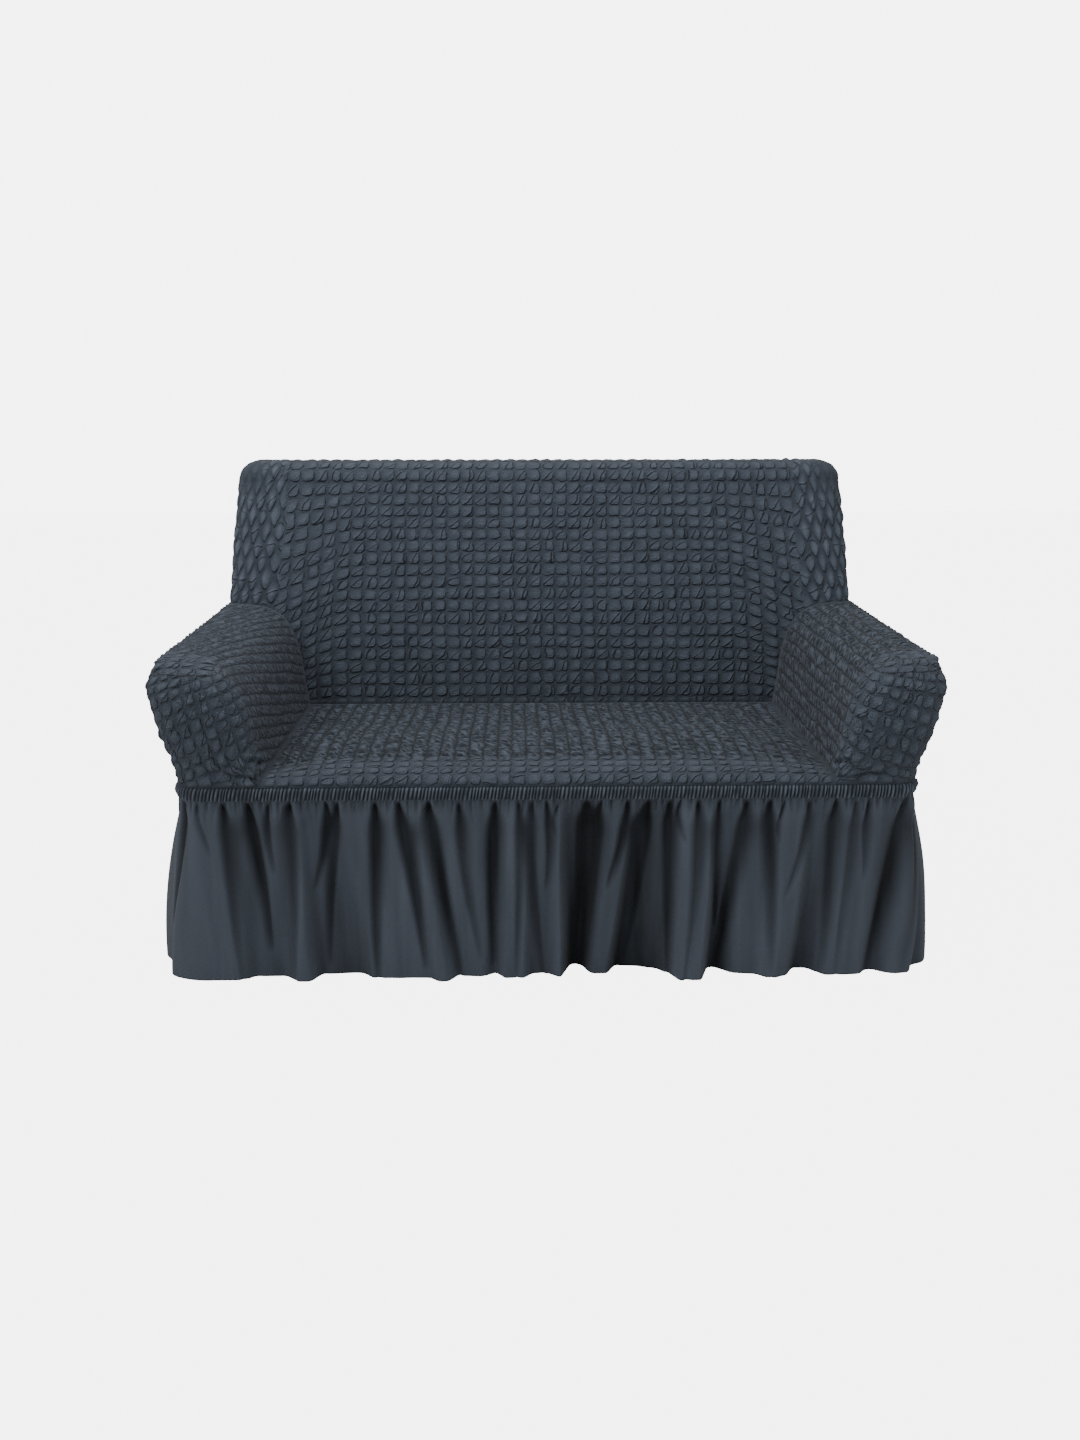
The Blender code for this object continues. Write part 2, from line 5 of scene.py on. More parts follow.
import bmesh
import bpy
import numpy as np
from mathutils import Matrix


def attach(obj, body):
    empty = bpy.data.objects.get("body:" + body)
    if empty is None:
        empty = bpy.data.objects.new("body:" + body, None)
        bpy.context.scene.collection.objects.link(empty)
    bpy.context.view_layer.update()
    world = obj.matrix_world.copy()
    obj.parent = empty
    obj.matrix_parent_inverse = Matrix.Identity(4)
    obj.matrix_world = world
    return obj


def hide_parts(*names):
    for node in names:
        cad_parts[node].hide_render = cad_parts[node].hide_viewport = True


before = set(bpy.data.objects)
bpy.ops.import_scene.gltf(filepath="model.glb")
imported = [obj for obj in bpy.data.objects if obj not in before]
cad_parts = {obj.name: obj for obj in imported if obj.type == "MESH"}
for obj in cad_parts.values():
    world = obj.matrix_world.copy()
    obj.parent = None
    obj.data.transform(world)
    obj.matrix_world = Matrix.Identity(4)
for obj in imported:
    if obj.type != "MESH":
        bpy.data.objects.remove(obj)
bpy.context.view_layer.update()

# ---- sizes of the cover, as in the solids

FRONT_Y, REAR_Y = -0.42, 0.42
BASE_HALF, BASE_CORNER, REAR_ROUND = 0.70, 0.055, 0.034
HEADING_TOP, HEADING_BOTTOM = 0.384, 0.360
ORIGIN_SHIFT = (-0.00086, -0.01682, 0.0)

BACK_TOP, TOP_ROUND, BACK_CORNER = 0.936, 0.046, 0.045
CREASE_Y, CREASE_Z, LEAN, HOLLOW, REAR_LEAN = 0.17, 0.400, 0.315, 0.012, 0.075
SEAT_NOSE_Z, SEAT_CROWN, NOSE_FORWARD = 0.423, 0.010, 0.006
BACK_WIDTH = np.array([(0.36, 0.722), (0.60, 0.724), (0.75, 0.716), (0.94, 0.700)])  # height, half width

# The arm's section by level, in mm: inner x, z, outer x, z, front y, z, inner and outer corner radius.
ARM_LEVELS = np.array([
    (530, 400, 700, 384, -420, 384, 30, 55),
    (541, 450, 706, 430, -430, 435, 45, 55),
    (549, 494, 723, 480, -438, 486, 50, 58),
    (560, 536, 734, 530, -440, 533, 52, 60),
    (576, 571, 743, 572, -433, 571, 50, 60),
    (598, 597, 732, 601, -416, 599, 42, 52),
    (634, 614, 724, 617, -390, 615, 30, 34),
    (678, 621, 678, 621, -352, 621, 0, 0),
]) / 1000
TOP_LEVEL = 7
SEAM_LEVEL = 5  # the outer level whose rear end is the top of the rear corner seam
REAR_BLEND, ARM_TOE_OUT = 0.8, 0.006

# The skirt's front hem, in mm: place along the heading, and depth behind the heading's front.
FRONT_FOLDS = np.array([
    (-790, 0), (-735, 18), (-690, -2), (-585, -4), (-565, 14), (-508, 14), (-484, -13),
    (-456, -12), (-438, 21), (-360, 24), (-334, 1), (-226, 0), (-212, -17), (-190, -16),
    (-178, 6), (-130, 4), (-98, 20), (-88, -5), (-48, -4), (-32, 18), (4, 16),
    (16, -2), (28, 0), (38, 50), (60, 52), (84, 12), (116, 12), (128, 47),
    (166, 46), (206, 36), (234, 10), (250, -24), (296, -22), (309, 36), (330, 30),
    (358, 8), (398, 5), (428, -15), (462, -3), (476, 28), (502, 28), (534, -4),
    (598, -2), (631, 20), (668, -6), (700, 18), (736, -4), (790, 0),
]) / 1000
# How far the front folds' upper ends stand to the right of their places at the hem, in mm.
FRONT_LEAN = np.array([
    (-790, 0), (-710, 22), (-600, -12), (-330, -44), (-200, -46), (-60, 0), (30, 5),
    (130, 40), (300, 12), (390, 2), (470, 38), (540, 14), (670, 32), (790, 0),
]) / 1000
SIDE_FLARE, CORNER_FLARE, FLARE_REACH, FRONT_FLARE, REAR_FLARE = 0.074, 0.60, 0.09, 0.004, 0.050
FOLD_SLOPE, FOLD_HALF, FOLD_DRIFT = (0.014, 0.026), (0.012, 0.044), 0.004
FOLD_SOFT = 0.006  # how far the skirt's folds are rounded off
FOLD_IN, FOLD_OUT = (0.016, 0.040), (-0.010, 0.006)

# ---- sizes of the cloth's relief

PUCKER = 0.0293  # pitch of the puckers on the relaxed stretch cloth
BACK_HEIGHT, SEAT_HEIGHT, ARM_HEIGHT = 0.0034, 0.0042, 0.0046  # how far the puckers stand out
SINK = 0.0018  # how far the stitched lines between puckers lie inside the solids' skin
BORDER = 0.010  # over this width the puckers die away towards a seam
FINE_CELLS = np.array([0.0, 0.09, 0.22, 0.38, 0.54, 0.70, 0.84, 0.93])  # mesh lines across one pucker
PLAIN_CELLS = np.array([0.0, 0.14, 0.38, 0.62, 0.86])
RUFFLE = 0.0068  # pitch of the heading's shirring

TABLE_SIZE, TABLE_SEED = 4096, 3
SEED_STRIDE, ROW_STRIDE, PLANE_STRIDE = 97, 131, 17  # steps through the table by seed and by row
wave_table = np.random.default_rng(TABLE_SEED).uniform(-1.0, 1.0, TABLE_SIZE)


def mix(a, b, t):
    return a + (b - a) * t


def unit(t):
    return np.clip(t, 0.0, 1.0)


def ease(t):
    t = unit(t)
    return t * t * (3.0 - 2.0 * t)


def net(a, b):
    return np.meshgrid(a, b, indexing="ij")


def joined(*axes):
    return np.stack(axes, -1)


def table_wave(x, start):
    """A smooth uneven wave along x, from -1 to 1, that turns about once in two units."""
    k = np.floor(x).astype(int) + start
    return mix(wave_table[k % TABLE_SIZE], wave_table[(k + 1) % TABLE_SIZE], ease(x - np.floor(x)))


def wander(x, seed):
    return table_wave(x, SEED_STRIDE * seed)


def wander2(x, y, seed):
    """The same over a plane."""
    k = np.floor(y).astype(int)
    low, high = (table_wave(x, ROW_STRIDE * row + PLANE_STRIDE * seed) for row in (k, k + 1))
    return mix(low, high, ease(y - k))


# ---- forms of the back


def rear_cut(y, rear):
    past = np.clip(y - (rear - REAR_ROUND), 0.0, REAR_ROUND)
    return REAR_ROUND - np.sqrt(REAR_ROUND**2 - past**2)


def rear_y(z):
    return REAR_Y + REAR_LEAN * (z - HEADING_TOP)


def seam_y(z):
    return rear_y(z) - REAR_ROUND * (1 - cos(pi / 4))


def back_half(z):
    return np.interp(z, BACK_WIDTH[:, 0], BACK_WIDTH[:, 1])


def back_front(z):
    return CREASE_Y + LEAN * (z - CREASE_Z)


def back_lengths(z):
    """Straight front, corner, side wall and rear edge of the back's plan outline, from its middle."""
    front = back_half(z) - BACK_CORNER
    wall = rear_y(z) - REAR_ROUND - back_front(z) - BACK_CORNER
    return front, BACK_CORNER * pi / 2, wall, REAR_ROUND * pi / 4


def back_outline(q, z):
    """Plan point of the back's skin: q is 0 in the middle and -1 or 1 at the rear seams."""
    front, turn, wall, last = back_lengths(z)
    along = np.abs(q) * (front + turn + wall + last)
    corner = np.clip((along - front) / BACK_CORNER, 0, pi / 2)
    edge = np.clip((along - front - turn - wall) / REAR_ROUND, 0, pi / 4)
    x = np.minimum(along, front) + BACK_CORNER * np.sin(corner) - REAR_ROUND * (1 - np.cos(edge))
    y = back_front(z) + BACK_CORNER * (1 - np.cos(corner)) + REAR_ROUND * np.sin(edge)
    y = y + np.clip(along - front - turn, 0, wall)
    rise = unit((z - CREASE_Z) / (BACK_TOP - TOP_ROUND - CREASE_Z))
    y = y + HOLLOW * np.sin(pi * rise) * unit(1 - (along / front) ** 2)
    return np.sign(q) * x, y


def level_row(level):
    """The arm table's row at any level between its rows."""
    k = np.clip(np.floor(level).astype(int), 0, TOP_LEVEL - 1)
    t = (level - k)[..., None]
    before, after = 2 * ARM_LEVELS[:1] - ARM_LEVELS[1:2], 2 * ARM_LEVELS[-1:] - ARM_LEVELS[-2:-1]
    rows = np.concatenate([before, ARM_LEVELS, after])
    slope = (rows[2:] - rows[:-2]) / 2
    a, b, da, db = ARM_LEVELS[k], ARM_LEVELS[k + 1], slope[k], slope[k + 1]
    return a + da * t + (3 * (b - a) - 2 * da - db) * t**2 + (2 * (a - b) + da + db) * t**3


def inner_foot(level):
    """Place along the back's outline, and height, where the arm's inner side meets it."""
    row = level_row(level)
    return row[..., 0] / sum(back_lengths(row[..., 1])), row[..., 1]


def outer_foot(level):
    """The same for the outer side, above the rear corner seam."""
    q_top = inner_foot(np.array([float(TOP_LEVEL)]))[0][0]
    share = (TOP_LEVEL - level) / (TOP_LEVEL - SEAM_LEVEL)
    return mix(q_top, 1.0, unit(share)), level_row(level)[..., 3]


def foot_table():
    up, down = np.linspace(0, TOP_LEVEL, 141), np.linspace(TOP_LEVEL, SEAM_LEVEL, 41)[1:]
    (q_in, z_in), (q_out, z_out) = inner_foot(up), outer_foot(down)
    return np.concatenate([q_in, q_out]), np.concatenate([z_in, z_out])


FOOT_Q, FOOT_Z = foot_table()


def foot_z(q):
    """Height of the crease round the back's foot."""
    return np.interp(np.abs(q), FOOT_Q, FOOT_Z)


def back_cap(q, t):
    """The back's skin from its top edge, t = 0, over the top to the rear seam, t = 1."""
    z_edge = BACK_TOP - TOP_ROUND
    x, y = back_outline(q, z_edge)
    half = back_half(z_edge)
    front, turn, wall_length, last = back_lengths(z_edge)
    flat_q = front / (front + turn + wall_length + last)
    near, far = 0.95 * front, half - 0.8 * TOP_ROUND
    beyond = mix(near, far, (np.abs(q) - flat_q) / (1 - flat_q))
    end_x = np.sign(q) * np.where(np.abs(q) < flat_q, near * np.abs(q) / flat_q, beyond)
    end_y = seam_y(BACK_TOP)
    way = np.hypot(end_x - x, end_y - y) + 1e-9
    bend = TOP_ROUND * np.arccos(1 - np.minimum(1, way / TOP_ROUND))
    gone = t * (bend + np.clip(way - TOP_ROUND, 0, None))
    travel = TOP_ROUND * (1 - np.cos(np.minimum(gone, bend) / TOP_ROUND)) + np.clip(gone - bend, 0, None)
    x, y = mix(x, end_x, travel / way), mix(y, end_y, travel / way)
    rear = rear_y(BACK_TOP)
    side_gap = half - rear_cut(y, rear) - np.abs(x)
    front_gap = y - back_front(z_edge)
    in_x, in_y = np.clip(BACK_CORNER - side_gap, 0, None), np.clip(BACK_CORNER - front_gap, 0, None)
    inside = BACK_CORNER - np.hypot(in_x, in_y)
    inside = np.where((in_x > 0) & (in_y > 0), inside, np.minimum(side_gap, front_gap))
    rise = np.sqrt(unit(1 - (1 - unit(inside / TOP_ROUND)) ** 2))
    return x, y, z_edge + rise * (TOP_ROUND - rear_cut(y, rear))


# ---- forms of the arms

HOOP = np.array([0.0, 0.385, 0.430, 0.485, 0.535, 1.0])  # shares of a hoop: leg, corner, face, corner, leg


def arm_skin(along, level):
    """The arm at +X: along is 0 at its inner rear end and 1 at its outer rear end, level 0 at its foot."""
    row = level_row(level)
    inner_x, inner_z, outer_x, outer_z, front_y, front_z, inner_r, outer_r = np.moveaxis(row, -1, 0)
    inner_r, outer_r = np.clip(inner_r, 0, None), np.clip(outer_r, 0, None)
    inner_x = inner_x + ARM_TOE_OUT * (1 - level / TOP_LEVEL)
    advance = inner_r * unit(level)
    q, z = inner_foot(level)
    x, y = back_outline(q, z)
    inner_rear = joined(x, y, z)
    q, z = outer_foot(level)
    x, y = back_outline(q, z)
    seam_x = mix(outer_x, back_half(outer_z), REAR_BLEND * level / SEAM_LEVEL)
    seam_depth = seam_y(outer_z)
    seam = joined(seam_x - rear_cut(seam_depth, rear_y(outer_z)), seam_depth, outer_z)
    outer_rear = np.where((level < SEAM_LEVEL)[..., None], seam, joined(x, y, z))

    def part(k):
        return unit((along - HOOP[k]) / (HOOP[k + 1] - HOOP[k]))

    inner_front = joined(inner_x, front_y + inner_r, inner_z)
    point = mix(inner_rear, inner_front, part(0)[..., None])
    a = pi / 2 * part(1)
    corner = [
        inner_x + advance * (1 - np.cos(a)),
        front_y + inner_r * (1 - np.sin(a)),
        mix(inner_z, front_z, 1 - np.cos(a)),
    ]
    point = np.where((along > HOOP[1])[..., None], joined(*corner), point)
    face_z = mix(front_z, outer_z, 0.5)
    face = [mix(inner_x + advance, outer_x - outer_r, part(2)), front_y, mix(front_z, face_z, part(2))]
    point = np.where((along > HOOP[2])[..., None], joined(*face), point)
    a = pi / 2 * part(3)
    corner = [
        outer_x - outer_r * (1 - np.sin(a)),
        front_y + outer_r * (1 - np.cos(a)),
        mix(face_z, outer_z, np.sin(a)),
    ]
    point = np.where((along > HOOP[3])[..., None], joined(*corner), point)
    outer_front = joined(outer_x, front_y + outer_r, outer_z)
    leg = mix(outer_front, outer_rear, part(4)[..., None])
    rear = rear_y(outer_z)
    wall_x = mix(outer_x, outer_rear[..., 0] + rear_cut(outer_rear[..., 1], rear), part(4))
    leg[..., 0] = np.where(level <= SEAM_LEVEL, wall_x - rear_cut(leg[..., 1], rear), leg[..., 0])
    return np.where((along > HOOP[4])[..., None], leg, point)


# ---- forms of the seat and the outside back


def coons(bottom, top, left, right):
    """Grid of points spanned by four border lines that share their corners."""
    across, up = np.linspace(0, 1, len(bottom)), np.linspace(0, 1, len(left))
    u, v = across[:, None, None], up[None, :, None]
    grid = mix(bottom[:, None], top[:, None], v) + mix(left[None], right[None], u)
    return grid - mix(mix(bottom[0], bottom[-1], u), mix(top[0], top[-1], u), v)


def even_line(points, at):
    """Points of a line at shares of its length."""
    steps = np.linalg.norm(np.diff(points, axis=0), axis=1)
    where = np.concatenate([[0], np.cumsum(steps)]) / steps.sum()
    return np.stack([np.interp(at, where, points[:, k]) for k in range(3)], -1)


MIRROR = np.array([-1, 1, 1])


def seat_skin(u, v):
    """The seat: u from left to right, v from the heading over the roll to the crease."""
    hoop = arm_skin(np.linspace(HOOP[2], 0.0, 400), np.zeros(400))
    border = even_line(hoop, v)
    q = np.abs(FOOT_Q[0]) * (2 * u - 1)
    x, y = back_outline(q, np.full_like(q, CREASE_Z))
    crease = joined(x, y, np.full_like(q, CREASE_Z))
    front = mix(border[0] * MIRROR, border[0], u[:, None])
    grid = coons(front, crease, border * MIRROR, border)
    u, v = u[:, None], v[None, :]
    lift = unit(1 - (2 * u - 1) ** 6)
    nose = np.sin(pi * unit(v / 0.6)) ** 0.7
    grid[..., 2] += (SEAT_NOSE_Z - CREASE_Z) * nose * lift + SEAT_CROWN * np.sin(pi * v) * lift
    grid[..., 1] -= NOSE_FORWARD * np.sin(pi * unit(v / 0.3)) * lift
    return grid


def rear_skin(u, v):
    """The outside back: u from left to right, v from the heading up to the seam along the top."""
    seam = arm_skin(np.ones(200), np.linspace(0, SEAM_LEVEL, 200))
    z = np.linspace(foot_z(1.0), BACK_TOP - TOP_ROUND, 200)[1:]
    x, y = back_outline(np.ones_like(z), z)
    t = np.linspace(0, 1, 60)[1:]
    cap = joined(*back_cap(np.ones_like(t), t))
    border = even_line(np.concatenate([seam, joined(x, y, z), cap]), v)
    q = np.linspace(-1, 1, 800)
    top = even_line(joined(*back_cap(q, np.ones_like(q))), u)
    bottom = mix(border[0] * MIRROR, border[0], u[:, None])
    grid = coons(bottom, top, border * MIRROR, border)
    x, z = grid[..., 0], grid[..., 2]
    side = np.interp(z, border[:, 2], border[:, 0]) - np.abs(x)
    inside = np.clip(np.minimum(side, top[:, 2].max() - z), 0, None)
    reach = REAR_ROUND * sin(pi / 4)
    rise = np.sqrt(REAR_ROUND**2 - np.clip(reach - inside, 0, None) ** 2) - reach
    grid[..., 1] += rise
    return grid


# ---- forms of the heading and the skirt

LOOP_X = BASE_HALF - BASE_CORNER  # straight half of the heading's front
REAR_TURN = LOOP_X + BASE_CORNER * pi / 2 + REAR_Y - REAR_ROUND - FRONT_Y - BASE_CORNER
HALF_LOOP = REAR_TURN + REAR_ROUND * pi / 2 + BASE_HALF - REAR_ROUND
SIDE_SEAM = FRONT_FOLDS[-1][0]
REAR_SEAM = REAR_TURN - 0.05


def loop_point(along, grow=0.0):
    """Plan point and outward normal of the heading at a distance from the middle of its front."""
    along = np.where(along > HALF_LOOP, along - 2 * HALF_LOOP, along)
    side, s = np.sign(along), np.abs(along)
    turn, last = BASE_CORNER * pi / 2, REAR_ROUND * pi / 2
    wall = (REAR_Y - REAR_ROUND) - (FRONT_Y + BASE_CORNER)
    a = np.clip((s - LOOP_X) / BASE_CORNER, 0, pi / 2)
    b = np.clip((s - LOOP_X - turn - wall) / REAR_ROUND, 0, pi / 2)
    rest = np.clip(s - LOOP_X - turn - wall - last, 0, None)
    x = np.minimum(s, LOOP_X) + BASE_CORNER * np.sin(a) - REAR_ROUND * (1 - np.cos(b)) - rest
    y = FRONT_Y + BASE_CORNER * (1 - np.cos(a)) + np.clip(s - LOOP_X - turn, 0, wall) + REAR_ROUND * np.sin(b)
    nx, ny = np.sin(a + b), -np.cos(a + b)
    return side * (x + grow * nx), y + grow * ny, side * nx, ny


def eased(at, table):
    """A line through a table's rows that is level at every row."""
    k = np.clip(np.searchsorted(table[:, 0], at, side="right") - 1, 0, len(table) - 2)
    t = (at - table[k, 0]) / (table[k + 1, 0] - table[k, 0])
    return mix(table[k, 1], table[k + 1, 1], ease(t))


def seeded_folds(start, end, seed):
    """Ridges and valleys of uneven width and depth, for the sides and the rear."""
    rng = np.random.default_rng(seed)
    rows, at, valley = [(start, 0.0)], start, True
    while at < end - FOLD_HALF[1] - FOLD_SLOPE[1]:
        slope, level = rng.uniform(*FOLD_SLOPE), rng.uniform(*FOLD_HALF)
        depth = rng.uniform(*(FOLD_IN if valley else FOLD_OUT))
        rows += [(at + slope, depth), (at + slope + level, depth + rng.uniform(-1, 1) * FOLD_DRIFT)]
        at += slope + level
        valley = not valley
    return np.array(rows + [(end, 0.0)])


# Gathers under the heading, as low and high: spacing, width at the top, reach down and depth.
GATHERS = ((0.013, 0.020), (0.004, 0.008), (0.06, 0.16), (0.003, 0.006))
LONG_GATHERS = ((0.034, 0.060), (0.010, 0.020), (0.20, 0.60), (0.008, 0.015))
GATHER_SEED, LONG_GATHER_SEED = 43, 41
# The skirt's painted shade in its hollows is darkest at these depths.
FOLD_FULL, DRAWN_FULL = 0.042, 0.0135  # depths at which a fold and a gather are as dark as they get
UNEVEN, UNEVEN_SEED, FINE_SEED = 0.0022, 77, 78  # soft unevenness between the folds

# Troughs down the skirt's front: place under the heading and at the hem, width and depth, in mm, and the
# share of the drop that they reach, in hundredths.
FRONT_TROUGHS = np.array([
    (-688, -720, 20, 11, 100), (-655, -645, 10, 7, 25), (-611, -576, 22, 13, 100),
    (-562, -535, 20, 15, 80), (-522, -522, 14, 10, 35), (-485, -485, 30, 14, 100),
    (-418, -445, 18, 12, 45), (-395, -412, 18, 11, 90), (-327, -318, 22, 14, 100),
    (-285, -243, 24, 15, 90), (-225, -183, 28, 15, 100), (-170, -137, 18, 10, 85),
    (-102, -110, 22, 14, 90), (-58, -52, 16, 10, 100), (-31, -14, 18, 10, 100),
    (-6, -10, 16, 9, 45), (21, 21, 10, 6, 15), (69, 48, 34, 15, 100),
    (98, 77, 20, 10, 100), (146, 118, 20, 13, 45), (189, 137, 26, 15, 90),
    (225, 243, 22, 11, 100), (248, 250, 12, 10, 20), (279, 262, 22, 13, 100),
    (322, 314, 16, 10, 70), (372, 333, 24, 12, 100), (416, 426, 24, 14, 100),
    (445, 440, 10, 9, 20), (489, 450, 18, 10, 50), (541, 512, 26, 12, 100),
    (578, 568, 18, 8, 100), (603, 590, 16, 10, 40), (674, 605, 30, 12, 100),
    (718, 680, 22, 10, 100),
]) / (1000, 1000, 1000, 1000, 100)
TROUGH_BOW = 0.006  # how far a trough swings to the side on its way down
TROUGH_STEEP = 0.65  # width of its steeper flank against the mean of both


def troughs(along, drop):
    """How far the front's troughs set the cloth back on their way down to the hem."""
    depth = np.zeros_like(along)
    for top, hem, width, deep, reach in FRONT_TROUGHS:
        left = unit(1 - drop / (reach + 0.06))
        bow = TROUGH_BOW * np.sin(3 * drop / reach + 90 * top) - TROUGH_BOW * np.sin(90 * top)
        past = along - mix(top, hem, drop**1.2 / reach) - bow
        spread = width * (0.25 + 0.55 * left) * (0.20 + 0.80 * ease(drop / 0.20))
        steep = TROUGH_STEEP if top * 53 % 1 < 0.5 else 2 - TROUGH_STEEP
        gap = np.abs(past) / (spread * np.where(past > 0, steep, 2 - steep))
        depth += 1.15 * deep * left**0.45 * np.exp(-(gap**2.2))
    return depth * ease(drop / 0.05)


def gathers(along, drop, start, end, seed, sizes):
    """How far V-shaped gathers set the cloth back, from wide under the heading down to a point."""
    rng = np.random.default_rng(seed)
    spacing, widths, reaches, depths = sizes
    depth = np.zeros_like(along)
    at = start + rng.uniform(*spacing)
    while at < end - spacing[1] / 2:
        width, reach, deep = rng.uniform(*widths), rng.uniform(*reaches), rng.uniform(*depths)
        lean = rng.uniform(-0.05, 0.05)
        left = unit(1 - drop / reach)
        gap = np.abs(along - at - lean * drop) / (width * (0.15 + 0.85 * left))
        depth += deep * left**0.7 * unit(1 - gap) ** 1.3
        at += rng.uniform(*spacing)
    return depth * unit(drop / 0.02)


def skirt_skin(start, end, along, drop, folds, leans):
    """A width of the skirt, and how hollow it is: along the heading, drop from 0 under it to 1 at the hem."""
    drift = 0.010 * np.sin(31 * along + 2 * drop) * (1 - drop)
    ends = unit(np.minimum(along - start, end - along) / 0.03)
    lean = 0.0 if leans is None else eased(along, leans) * (1 - drop)
    place = along + drift * ends - lean
    depth = sum(eased(place + step * FOLD_SOFT * ends, folds) for step in (-1, 0, 1)) / 3
    depth = depth * (0.30 + 0.70 * drop**0.9) * unit(drop / 0.12)
    if start < 0:
        drawn = troughs(along, drop)
    else:
        drawn = gathers(along, drop, start, end, LONG_GATHER_SEED, LONG_GATHERS)
    drawn = drawn + gathers(along, drop, start, end, GATHER_SEED, GATHERS)
    inner = depth / FOLD_FULL + drawn / DRAWN_FULL
    soft = wander2(along / 0.05 + 0.6 * drop, drop * 2.5, UNEVEN_SEED)
    soft = soft + 0.5 * wander2(along / 0.022, drop * 4, FINE_SEED)
    depth = depth + drawn * ends + UNEVEN * soft * ends * ease(drop / 0.1)
    flare = 1 - (1 - drop) ** 2
    x, y, nx, ny = loop_point(along)
    out_y = np.where(ny < 0, FRONT_FLARE, REAR_FLARE)
    behind = unit((y - FRONT_Y - BASE_CORNER) / FLARE_REACH)
    out_x = SIDE_FLARE * mix(CORNER_FLARE, 1.0, behind)
    x = x + nx * (out_x * flare - depth)
    y = y + ny * (out_y * flare - depth)
    return joined(x, y, mix(HEADING_BOTTOM, 0.0, drop)), inner


# ---- relief of the puckered cloth


def cell_lines(count, cells):
    return np.append((np.arange(count)[:, None] + cells[None, :]).ravel(), float(count))


def hump(s, low, high, peak):
    """A swelling between two edges of a cell: a slow rise to its peak and a steep fall after it."""
    up = unit((s - low) / (peak - low))
    down = unit((high - s) / (high - peak))
    return (1 - (1 - up) ** 1.7) * (1 - (1 - down) ** 2.2)


def puckers(a, b, seed, folds=3, fold_depth=0.45, turned=None):
    """Height from 0 to about 1 of puckers one unit apart, each with its own edges, lean and crumples."""
    rng = np.random.default_rng(seed)
    i, j = np.floor(a).astype(int), np.floor(b).astype(int)
    s, t = a - i, b - j
    i, j = i - i.min(), j - j.min()
    size = (i.max() + 1, j.max() + 1)

    def each(low, high):
        return rng.uniform(low, high, size)[i, j]

    wide = hump(s, each(0.03, 0.15), each(0.88, 0.98), each(0.45, 0.80))
    tall = hump(t, each(0.02, 0.13), each(0.86, 0.98), each(0.20, 0.55))
    body = wide * tall
    height = body * each(0.62, 1.12)
    for _ in range(folds):
        angle = each(-1.0, 1.0) * pi / 2 if turned is None else turned + each(-0.5, 0.5)
        bow = each(-1.2, 1.2) * ((s - 0.5) * np.sin(angle) - (t - 0.5) * np.cos(angle)) ** 2
        gap = (s - 0.5) * np.cos(angle) + (t - 0.5) * np.sin(angle) + bow - each(-0.30, 0.30)
        height = height + body * each(-1.0, 0.6) * fold_depth * np.exp(-np.abs(gap / each(0.05, 0.12)) ** 1.4)
    return height


# ---- making a piece


def facing(grid):
    """Outward unit normals of a grid of points."""
    square = np.cross(np.gradient(grid, axis=0), np.gradient(grid, axis=1))
    length = np.linalg.norm(square, axis=-1, keepdims=True)
    return square / np.maximum(length, 1e-12)


def raised(grid, lift):
    return grid + facing(grid) * lift[..., None]


def mirrored(grid, cells, fields):
    """A piece of the right side turned into one of the left, facing outward again."""
    return grid[::-1] * MIRROR, cells[::-1], {key: field[::-1] for key, field in fields.items()}


def added(name, data):
    made = bpy.data.objects.new(name, data)
    bpy.context.scene.collection.objects.link(made)
    return made


def cloth_piece(name, material, grid, fields, cells, gone=None, close=False, swap=None):
    """A sheet of cloth over a grid of points, with its fields as attributes and its cells as UV.

    Faces whose corners are all gone are left out, close merges ends that meet, and swap gives flags and
    other cells for the faces that they touch."""
    cells_i, cells_j = grid.shape[0] - 1, grid.shape[1] - 1
    bm = bmesh.new()
    bmesh.ops.create_grid(bm, x_segments=cells_i, y_segments=cells_j, size=0.5)
    place = bm.verts.layers.int.new("place")
    for vert in bm.verts:
        i, j = round((vert.co.x + 0.5) * cells_i), round((vert.co.y + 0.5) * cells_j)
        vert[place] = i * (cells_j + 1) + j
    if gone is not None:
        flags = gone.ravel()
        lost = [f for f in bm.faces if all(flags[v[place]] for v in f.verts)]
        bmesh.ops.delete(bm, geom=lost, context="FACES")
    mesh = bpy.data.meshes.new(name)
    bm.to_mesh(mesh)
    bm.free()
    index = np.empty(len(mesh.vertices), dtype=np.int32)
    mesh.attributes["place"].data.foreach_get("value", index)
    points = (grid + np.array(ORIGIN_SHIFT)).reshape(-1, 3)[index]
    mesh.vertices.foreach_set("co", points.astype(np.float32).ravel())
    for field, values in fields.items():
        made = mesh.attributes.new(field, "FLOAT", "POINT")
        values = np.broadcast_to(values, grid.shape[:2]).ravel()[index]
        made.data.foreach_set("value", values.astype(np.float32))
    corners = np.empty(len(mesh.loops), dtype=np.int32)
    mesh.loops.foreach_get("vertex_index", corners)
    spots = index[corners]
    flat = cells.reshape(-1, 2)[spots]
    if swap is not None:
        flags = swap[0].ravel()[spots].reshape(-1, 4).any(1).repeat(4)
        flat = np.where(flags[:, None], swap[1].reshape(-1, 2)[spots], flat)
    uv = mesh.uv_layers.new(name="weave")
    uv.data.foreach_set("uv", flat.astype(np.float32).ravel())
    mesh.attributes.remove(mesh.attributes["place"])
    if close:
        bm = bmesh.new()
        bm.from_mesh(mesh)
        bmesh.ops.remove_doubles(bm, verts=bm.verts, dist=1e-6)
        bm.to_mesh(mesh)
        bm.free()
    mesh.update()
    mesh.shade_smooth()
    mesh.materials.append(material)
    return added(name, mesh)


def dress(name, node, cloth, flat, grid, fields, cells, **ways):
    """Put a sheet of cloth in the place of a node. Cloth is its material, slot and way of holding; the slot
    and the way of holding are not used.
    """
    material, slot, held = cloth
    piece = cloth_piece(name, material, grid, fields, cells, **ways)
    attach(piece, "root")
    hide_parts(node)


